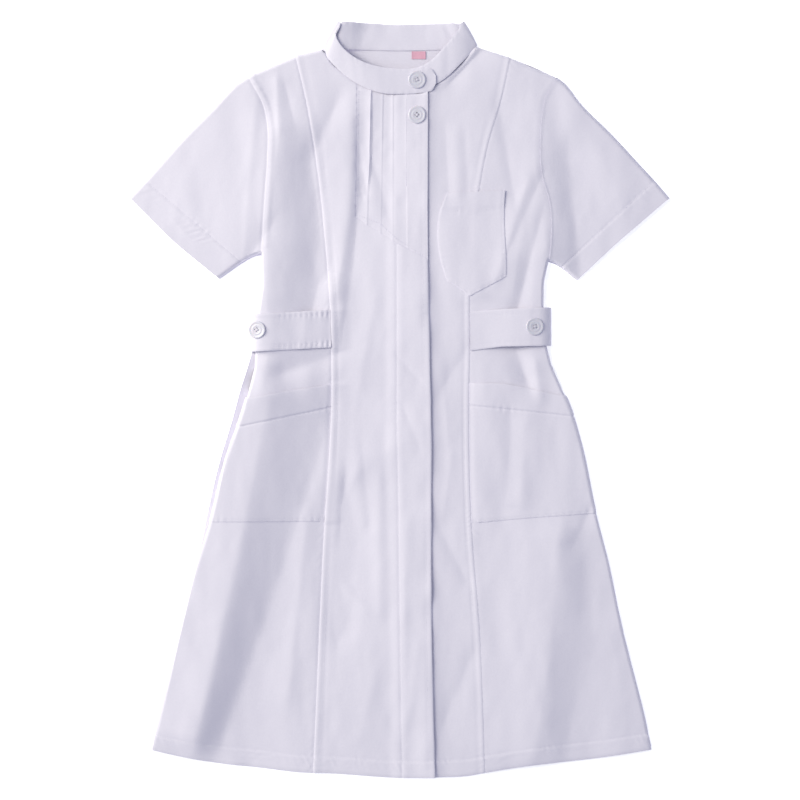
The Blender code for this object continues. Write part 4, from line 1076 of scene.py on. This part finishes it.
x, y = front_part(("chest_pocket_foot", "chest_pocket_mouth"), CHEST_RAILS)
chest_pocket = laid_piece("chest_pocket", height, x, y, chest_pocket_lift(x, y), POCKET_CLOTH)
across = np.arange(52, 126, 4.0)
chest_rows = sew("stitches_chest_pocket", [
    np.stack([across, chest_band_y(across) - BAND_ROW], axis=1),
    rung_line("chest_pocket_foot", CHEST_RAILS, (52, 126), CHEST_ROW, 4.0),
    rail_line("pocket_inner", 244, 146, CHEST_ROW),
    rail_line("pocket_outer", 246, 152, -CHEST_ROW),
], on_surface(chest_pocket_lift))

# --------------------------------------------------------------------
# Belt tabs: one each side of the waist, sewn into the princess seam, interlined and taut, with its
# buttoned end rounding down over the side of the dress.

TabEnd = namedtuple("TabEnd", "crest_x tip_x crest_z")
TAB_ENDS = {"right": TabEnd(-152, -179.5, 17.0), "left": TabEnd(158, 179.0, 10.6)}
LAID_ON = 1.5           # inner face of a tab over the inner face of the front
TAB_WALL = 1.4          # outer face of a tab over its inner face in the build's solids
TAB_CLOTH = 1.2         # thickness shown
TAB_ROW = 5.5           # from a long edge to its row of stitches
TAB_TIP_CELLS = 18
TIP_CLEAR = 0.15        # from the surface below to the tip's inner face


def tab_surface(side):
    """Inner side of a belt tab: taut over the front, rounding down past the side of the dress."""
    end = TAB_ENDS[side]
    half = abs(end.tip_x - end.crest_x)
    outward_sign = math.copysign(1.0, end.tip_x)

    def surface(x, y):
        past = (x - end.crest_x) * outward_sign / half
        arch = end.crest_z * np.sqrt(np.clip(1 - np.maximum(past, 0.0) ** 4, 0.0, 1.0))
        within = np.where(past < 0.25, x, end.crest_x + 0.25 * half * outward_sign)
        over_front = FRONT_REST + roundness(within, y) * puff(within, y) + LAID_ON
        outside = smooth_step(-0.30, 0.35, past)
        return np.maximum((1 - outside) * over_front + outside * arch, TIP_CLEAR)

    return surface


def tab_lift(side):
    """Outer face of a tab over its inner face: rows of stitches along it, and gathers on the right one."""
    rails = SIDE_RAILS[side]

    def lift(x, y):
        over_foot = y - rung_height("tab_foot", rails, x)
        under_head = rung_height("tab_head", rails, x) - y
        relief = 0.0
        for away, seed in ((over_foot - TAB_ROW, 130), (under_head - TAB_ROW, 132)):
            if side == "right":
                strength = 0.42 * smooth_step(-153, -140, x)
                gathers = np.sin(2 * math.pi * x / 6.4 + 0.8 * pucker(x, 15, seed)) * strength
                relief = relief + gathers * bell((away + 1.0) / 3.6) - 0.25 * bell(away)
            else:
                relief = relief + stitched_line(away, x, seed + 4, pull=0.12, gather=0.06)
        relief = relief + rounded_edge(over_foot) + rounded_edge(under_head)
        if side == "right":
            relief = relief - 1.3 * bell((x - rail_x("princess_right", y)) / 7)
            relief = relief + ridge(x, y, Fold(-110, 110, -117, 62, 0, 0.8, 8, 14))
        else:
            relief = relief + 2.4 * smooth_step(98, 138, x) - 0.8 * bell((x - 84) / 16)
        creases = 0.5 if side == "right" else 0.25
        return TAB_WALL + (relief + creases * soft_noise(x + 0.5 * y, y, 15, 17, 136))

    return lift


for side, edge, reach in (("right", 0, (-150, -86)), ("left", -1, (90, 150))):
    x, y = front_part(("tab_foot", "tab_head"), SIDE_RAILS[side])
    share = np.linspace(0.0, 1.0, TAB_TIP_CELLS + 1)[1:]
    tip_x = x[:, [edge]] + (TAB_ENDS[side].tip_x - x[:, [edge]]) * share
    tip_y = np.repeat(y[:, [edge]], TAB_TIP_CELLS, axis=1)
    if side == "right":
        x, y = np.hstack([tip_x[:, ::-1], x]), np.hstack([tip_y, y])
    else:
        x, y = np.hstack([x, tip_x]), np.hstack([y, tip_y])
    surface, lift = tab_surface(side), tab_lift(side)
    tab = laid_piece(f"belt_tab_{side}", surface, x, y, lift(x, y), np.minimum(TAB_CLOTH, lift(x, y)))
    tab_rows = sew(f"stitches_belt_tab_{side}", [
        rung_line("tab_foot", SIDE_RAILS[side], reach, TAB_ROW, 4.0),
        rung_line("tab_head", SIDE_RAILS[side], reach, -TAB_ROW, 4.0),
    ], on_surface(lift, surface))

# --------------------------------------------------------------------
# Stand collar: one interlined band, folded lengthways at its top edge and sewn to the neck. It stands
# up round the neck, folds over at each side, and its right end buttons over the left one.

Band = namedtuple("Band", "seam_x seam_y top_x top_y seam_z top_z")
COLLAR_UNDER = [
    Band(5, 367.2, 5, 397, 7.2, 8.6),
    Band(24, 369.0, 22, 399.5, 7.2, 8.6),
    Band(43, 378.6, 39, 408.5, 7.7, 9.0),
    Band(57.5, 388.2, 55.5, 426, 8.2, 9.6),
    Band(71, 401, 64, 435.5, 8.6, 9.8),
    Band(83.5, 414.5, 71, 445, 6.8, 9.6),
]
COLLAR_BACK = [
    Band(72, 422.4, 64, 452.9, 2.2, 5.0),
    Band(54, 421.0, 48, 452.2, 1.9, 2.2),
    Band(28, 420.3, 24, 451.8, 1.9, 0.9),
    Band(3, 419.9, 1, 451, 1.9, 1.6),
    Band(-18, 420.1, -16, 451.6, 1.9, 0.9),
    Band(-28, 420.4, -26, 452.3, 1.9, 1.9),
    Band(-46, 420.9, -43, 453.0, 2.9, 4.2),
    Band(-61, 421.0, -57, 453.5, 5.6, 9.4),
    Band(-75, 420.6, -68, 453.9, 7.2, 11.2),
]
COLLAR_OVER = [
    Band(-85.5, 409.5, -76, 440, 7.4, 12.0),
    Band(-68.6, 392.3, -70, 425, 8.3, 12.6),
    Band(-51.6, 380.2, -57, 413, 8.6, 12.4),
    Band(-34.8, 372.2, -40, 404, 8.8, 12.0),
    Band(-18.8, 367.8, -20, 399, 9.4, 11.4),
    Band(6, 367.2, 5, 397, 9.6, 11.0),
    Band(22, 368.0, 22, 397.6, 9.6, 11.0),
    Band(35, 370.0, 35, 398, 9.6, 11.0),
    Band(40.5, 373.0, 40.5, 395.0, 9.8, 10.8),
    Band(43.6, 379.0, 43.6, 389.0, 10.0, 10.6),
]
COLLAR_FOLD_LEFT = {"seam": (93, 425), "top": (77, 454.0), "seam_z": (2.0, 3.6), "top_z": (6.0, 9.4)}
COLLAR_FOLD_RIGHT = {"seam": (-93, 421.5), "top": (-74, 454.2), "seam_z": (2.4, 4.0), "top_z": (8.0, 12.2)}
COLLAR_WALL = 1.5
BAND_HEIGHT = 30.0      # from the neck seam to the folded top edge
BACK_REST = (3.5, 2.2)  # z between which the band comes to rest on the back and lies flat
FOLD_STEPS = 7
SECTION_STEP = 1.6      # between the sections that are skinned
BAND_CELLS = 18


def fold_sections(fold, first_sign):
    """Sections of the collar round one of its side folds, as half a turn between low and high."""
    seam, top_point = np.array(fold["seam"], dtype=float), np.array(fold["top"], dtype=float)
    line = top_point - seam
    outward_way = np.array([line[1], -line[0]]) / np.linalg.norm(line)
    if outward_way[0] * seam[0] < 0:
        outward_way = -outward_way
    seam_low, top_low = fold["seam_z"][0], fold["top_z"][0]
    seam_radius = (fold["seam_z"][1] - seam_low) / 2
    top_radius = (fold["top_z"][1] - top_low) / 2
    sections = []
    for angle in np.linspace(-math.pi / 2, math.pi / 2, FOLD_STEPS) * first_sign:
        seam_xy = seam + outward_way * seam_radius * (math.cos(angle) - 1)
        top_xy = top_point + outward_way * top_radius * (math.cos(angle) - 1)
        seam_z = seam_low + seam_radius * (1 + math.sin(angle))
        top_z = top_low + top_radius * (1 + math.sin(angle))
        sections.append(Band(*seam_xy, *top_xy, seam_z, top_z))
    return sections


bands = (COLLAR_UNDER + fold_sections(COLLAR_FOLD_LEFT, -1) + COLLAR_BACK
         + fold_sections(COLLAR_FOLD_RIGHT, 1) + COLLAR_OVER)
seam = np.array([(band.seam_x, band.seam_y, band.seam_z) for band in bands])
crest = np.array([(band.top_x, band.top_y, band.top_z) for band in bands])
reached = distances((seam + crest) / 2)
at = np.linspace(0.0, reached[-1], int(reached[-1] / SECTION_STEP))
seam, crest = on_curve(seam, reached, at), on_curve(crest, reached, at)
share = np.linspace(0.0, 1.0, BAND_CELLS + 1)[None, :, None]
middle = seam[:, None] * (1 - share) + crest[:, None] * share
square = np.cross(np.gradient(middle, axis=0), (crest - seam)[:, None])
square /= np.linalg.norm(square, axis=2)[:, :, None]
up_band = share[:, :, 0] + 0 * middle[:, :, 0]
swept = at[:, None] + 0 * up_band
bulge = 0.5 * np.sin(math.pi * up_band)
bulge = bulge + 0.55 * soft_noise(swept, up_band * BAND_HEIGHT, 14, 34, 140)
bulge = bulge + 0.20 * pucker(swept, 8.0, 142) * bell((1 - up_band) * BAND_HEIGHT / 3.5)
bulge = bulge + 0.16 * pucker(swept, 9.0, 144) * bell(up_band * BAND_HEIGHT / 4)
on_back = smooth_step(*BACK_REST, middle[:, :, 2])
middle = middle + square * (bulge * (1 - on_back) - 0.5 * np.abs(bulge) * on_back)[:, :, None]
half_wall = COLLAR_WALL / 2 * np.sqrt(np.clip(1 - (np.abs(up_band - 0.5) * 2) ** 24, 0.25, 1.0))[:, :, None]
one_side, other_side = middle + square * half_wall, middle - square * half_wall
for face in (one_side, other_side):
    face[:, :, 2] = np.maximum(face[:, :, 2], 0.0)
bm = skin(np.concatenate([one_side, other_side[:, ::-1], one_side[:, :1]], axis=1))
bmesh.ops.holes_fill(bm, edges=[edge for edge in bm.edges if edge.is_boundary], sides=0)
collar = finish_piece("collar", bm, white_cloth, ["collar"])

# --------------------------------------------------------------------
# Buttons: white moulded shirt buttons with a raised rim, a ring round the middle and four holes, each
# sewn on with a cross of white thread.

HOLE_RADIUS = 1.05
HOLE_AT = 2.0           # from the button's middle to a hole's
FOOT_BELOW = 1.4        # from the middle of the button's box down to its foot
BUTTON_STEPS = 48
BEADS = 9               # beads that make up one strand of the thread
BEAD = (0.42, 0.26, 0.22)
BUTTON_PROFILE = [(0.0, 0.0), (9.3, 0.0), (10.0, 0.2), (10.45, 0.6), (10.6, 1.0), (10.4, 1.5), (9.9, 1.8),
                  (9.3, 1.9), (8.7, 1.85), (8.1, 1.7), (7.5, 1.6), (6.7, 1.55), (6.1, 1.6), (5.7, 1.7),
                  (5.2, 1.75), (4.7, 1.7), (4.2, 1.55), (3.2, 1.5), (0.0, 1.5)]
Button = namedtuple("Button", "name tilt_x tilt_y turn rise")
BUTTONS = [
    Button("button_collar", 2.9, 0.0, 20, -0.3),
    Button("button_front", 0.0, -2.5, 50, -1.2),
    Button("button_tab_right", 0.0, -13.0, 35, 1.2),
    Button("button_tab_left", 0.0, 5.0, 10, 1.9),
]


def plastic_finish(name, colour):
    """Moulded polyester with faint cloudy marbling and a satin gloss."""
    made = new_finish(name)
    place = add(made, "TexCoord", {}, "Object")
    cloud = add(made, "TexNoise", {"Vector": place, "Scale": 260.0, "Detail": 3.0, "Distortion": 1.2}, "Fac")
    tone = blended(made, [part * 0.90 for part in colour], colour, cloud)
    gloss = add(made, "MapRange", {"To Min": 0.24, "To Max": 0.42, "Value": cloud}, "Result")
    return coated(made, {"Base Color": tone, "Roughness": gloss, "Subsurface Weight": 0.05,
                         "Coat Weight": 0.25, "Coat Roughness": 0.2})


button_white = plastic_finish("button_plastic", (0.715, 0.695, 0.79))


def turned(degrees, axis):
    return Matrix.Rotation(math.radians(degrees), 4, axis)


def pierced_button():
    """A button turned from its profile, with its four holes cut through."""
    bm = bmesh.new()
    line = [bm.verts.new((radius * MM, 0.0, rise * MM)) for radius, rise in BUTTON_PROFILE]
    edges = [bm.edges.new(pair) for pair in zip(line, line[1:])]
    bmesh.ops.spin(bm, geom=line + edges, axis=(0, 0, 1), cent=(0, 0, 0), angle=2 * math.pi,
                   steps=BUTTON_STEPS, use_merge=True)
    bmesh.ops.remove_doubles(bm, verts=bm.verts, dist=1e-6)
    bmesh.ops.recalc_face_normals(bm, faces=bm.faces)
    disc = mesh_object("disc", bm)
    punches = bmesh.new()
    for corner in range(4):
        angle = math.radians(45 + 90 * corner)
        where = Matrix.Translation((HOLE_AT * MM * math.cos(angle), HOLE_AT * MM * math.sin(angle), 0.0))
        bmesh.ops.create_cone(punches, cap_ends=True, segments=20, radius1=HOLE_RADIUS * MM,
                              radius2=HOLE_RADIUS * MM, depth=12 * MM, matrix=where)
    punch = mesh_object("punch", punches)
    cut = disc.modifiers.new("holes", "BOOLEAN")
    cut.operation = "DIFFERENCE"
    cut.object = punch
    pierced = bmesh.new()
    pierced.from_mesh(disc.evaluated_get(bpy.context.evaluated_depsgraph_get()).to_mesh())
    for helper in (disc, punch):
        bpy.data.objects.remove(helper, do_unlink=True)
    return pierced


def thread_cross(place):
    """Two bundles of three strands that cross over a button's middle and go down its holes."""
    bm = bmesh.new()
    for bundle in range(2):
        for strand in (-1, 0, 1):
            for bead in range(BEADS):
                reach = bead / (BEADS - 1) * 2 - 1
                rise = 1.75 - 1.2 * abs(reach) ** 5 + 0.22 * bundle - 0.1 * abs(strand)
                spot = Matrix.Translation((HOLE_AT * MM * reach, 0.30 * MM * strand, rise * MM))
                size = Matrix.Diagonal((*(part * MM for part in BEAD), 1.0))
                bmesh.ops.create_uvsphere(bm, u_segments=6, v_segments=5, radius=1.0,
                                          matrix=place @ (turned(45 + 90 * bundle, "Z") @ spot) @ size)
    return bm


for button in BUTTONS:
    low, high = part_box(button.name)
    centre = (low + high) / 2 + Vector((0.0, 0.0, button.rise * MM))
    tilt = turned(button.tilt_y, "Y") @ turned(button.tilt_x, "X")
    place = Matrix.Translation(centre) @ tilt @ turned(button.turn, "Z")
    place = place @ Matrix.Translation((0, 0, -FOOT_BELOW * MM))
    bm = pierced_button()
    bmesh.ops.transform(bm, matrix=place, verts=bm.verts)
    finish_piece(button.name, bm, button_white, [button.name], sharp=50)
    finish_piece(f"{button.name}_thread", thread_cross(place), white_thread, (), sharp=180)

# --------------------------------------------------------------------
# Neck label: a short pink woven ribbon on the inside of the back, just under the neck seam. It is
# folded under at both ends and sewn down, and it is blank.

LABEL_SIZE = (16.6, 9.1)
LABEL_AT = (23.0, 414.5)
LABEL_FOOT = 1.55       # height of its underside
LABEL_WALL = 0.55

label_pink = cloth_finish("label_ribbon", light=(0.80, 0.47, 0.58), dark=(0.70, 0.37, 0.49), weave=0.6)
width, length = LABEL_SIZE
x, y = np.meshgrid(np.linspace(-width / 2, width / 2, 37), np.linspace(-length / 2, length / 2, 19))
curl = 0.35 * (np.abs(x) / (width / 2)) ** 6 + 0.15 * np.sin(x / 2.1) * np.cos(y / 3.0)
under = np.stack([x + LABEL_AT[0], y + LABEL_AT[1], LABEL_FOOT + curl * 0.5], axis=-1)
over = under + np.array([0.0, 0.0, LABEL_WALL])
label = cloth_piece("neck_label", under, over, finish=label_pink)

# --------------------------------------------------------------------
# The surface, the light and the camera: a pale table top, soft light from the upper left, and a camera
# straight above, as in the photograph.

TABLE_HALF = 6.0        # metres
TABLE_Z = -0.0002
WINDOW_AT = Vector((-3.22, 1.26, 2.52))
WINDOW_SIZE = (1.8, 3.8)
PICTURE_WIDTH = 0.960   # metres across the picture at the dress
CAMERA_AT = (0.0006, 0.0, 3.2)
FOCUS_HEIGHT = 0.008

bm = bmesh.new()
bmesh.ops.create_grid(bm, x_segments=1, y_segments=1, size=TABLE_HALF,
                      matrix=Matrix.Translation((0, 0, TABLE_Z)))
table_top = mesh_object("table_top", bm)
table_top.data.materials.append(coated(new_finish("pale_table"), {
    "Base Color": (0.97, 0.97, 0.97, 1.0), "Roughness": 1.0, "Specular IOR Level": 0.0,
    "Emission Color": (1.0, 1.0, 1.0, 1.0), "Emission Strength": 0.55}))
table_top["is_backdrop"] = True

window = bpy.data.lights.new("window", "AREA")
window.shape = "RECTANGLE"
window.size, window.size_y = WINDOW_SIZE
window.energy = 196.0
window.color = (1.0, 0.955, 0.80)
window_object = placed("window", window)
window_object.location = WINDOW_AT
window_object.rotation_euler = WINDOW_AT.to_track_quat("Z", "Y").to_euler()

world = bpy.data.worlds.new("room")
world.use_nodes = True
feed(world.node_tree.nodes["Background"], {"Color": (0.79, 0.826, 1.0, 1.0), "Strength": 0.505})
bpy.context.scene.world = world

camera = bpy.data.cameras.new("camera")
camera.sensor_width = 36.0
camera.lens = camera.sensor_width * (CAMERA_AT[2] - FOCUS_HEIGHT) / PICTURE_WIDTH
camera.clip_end = 20.0
camera_object = placed("camera", camera)
camera_object.location = CAMERA_AT
bpy.context.scene.camera = camera_object
bpy.context.scene.view_settings.view_transform = "Standard"

low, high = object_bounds()
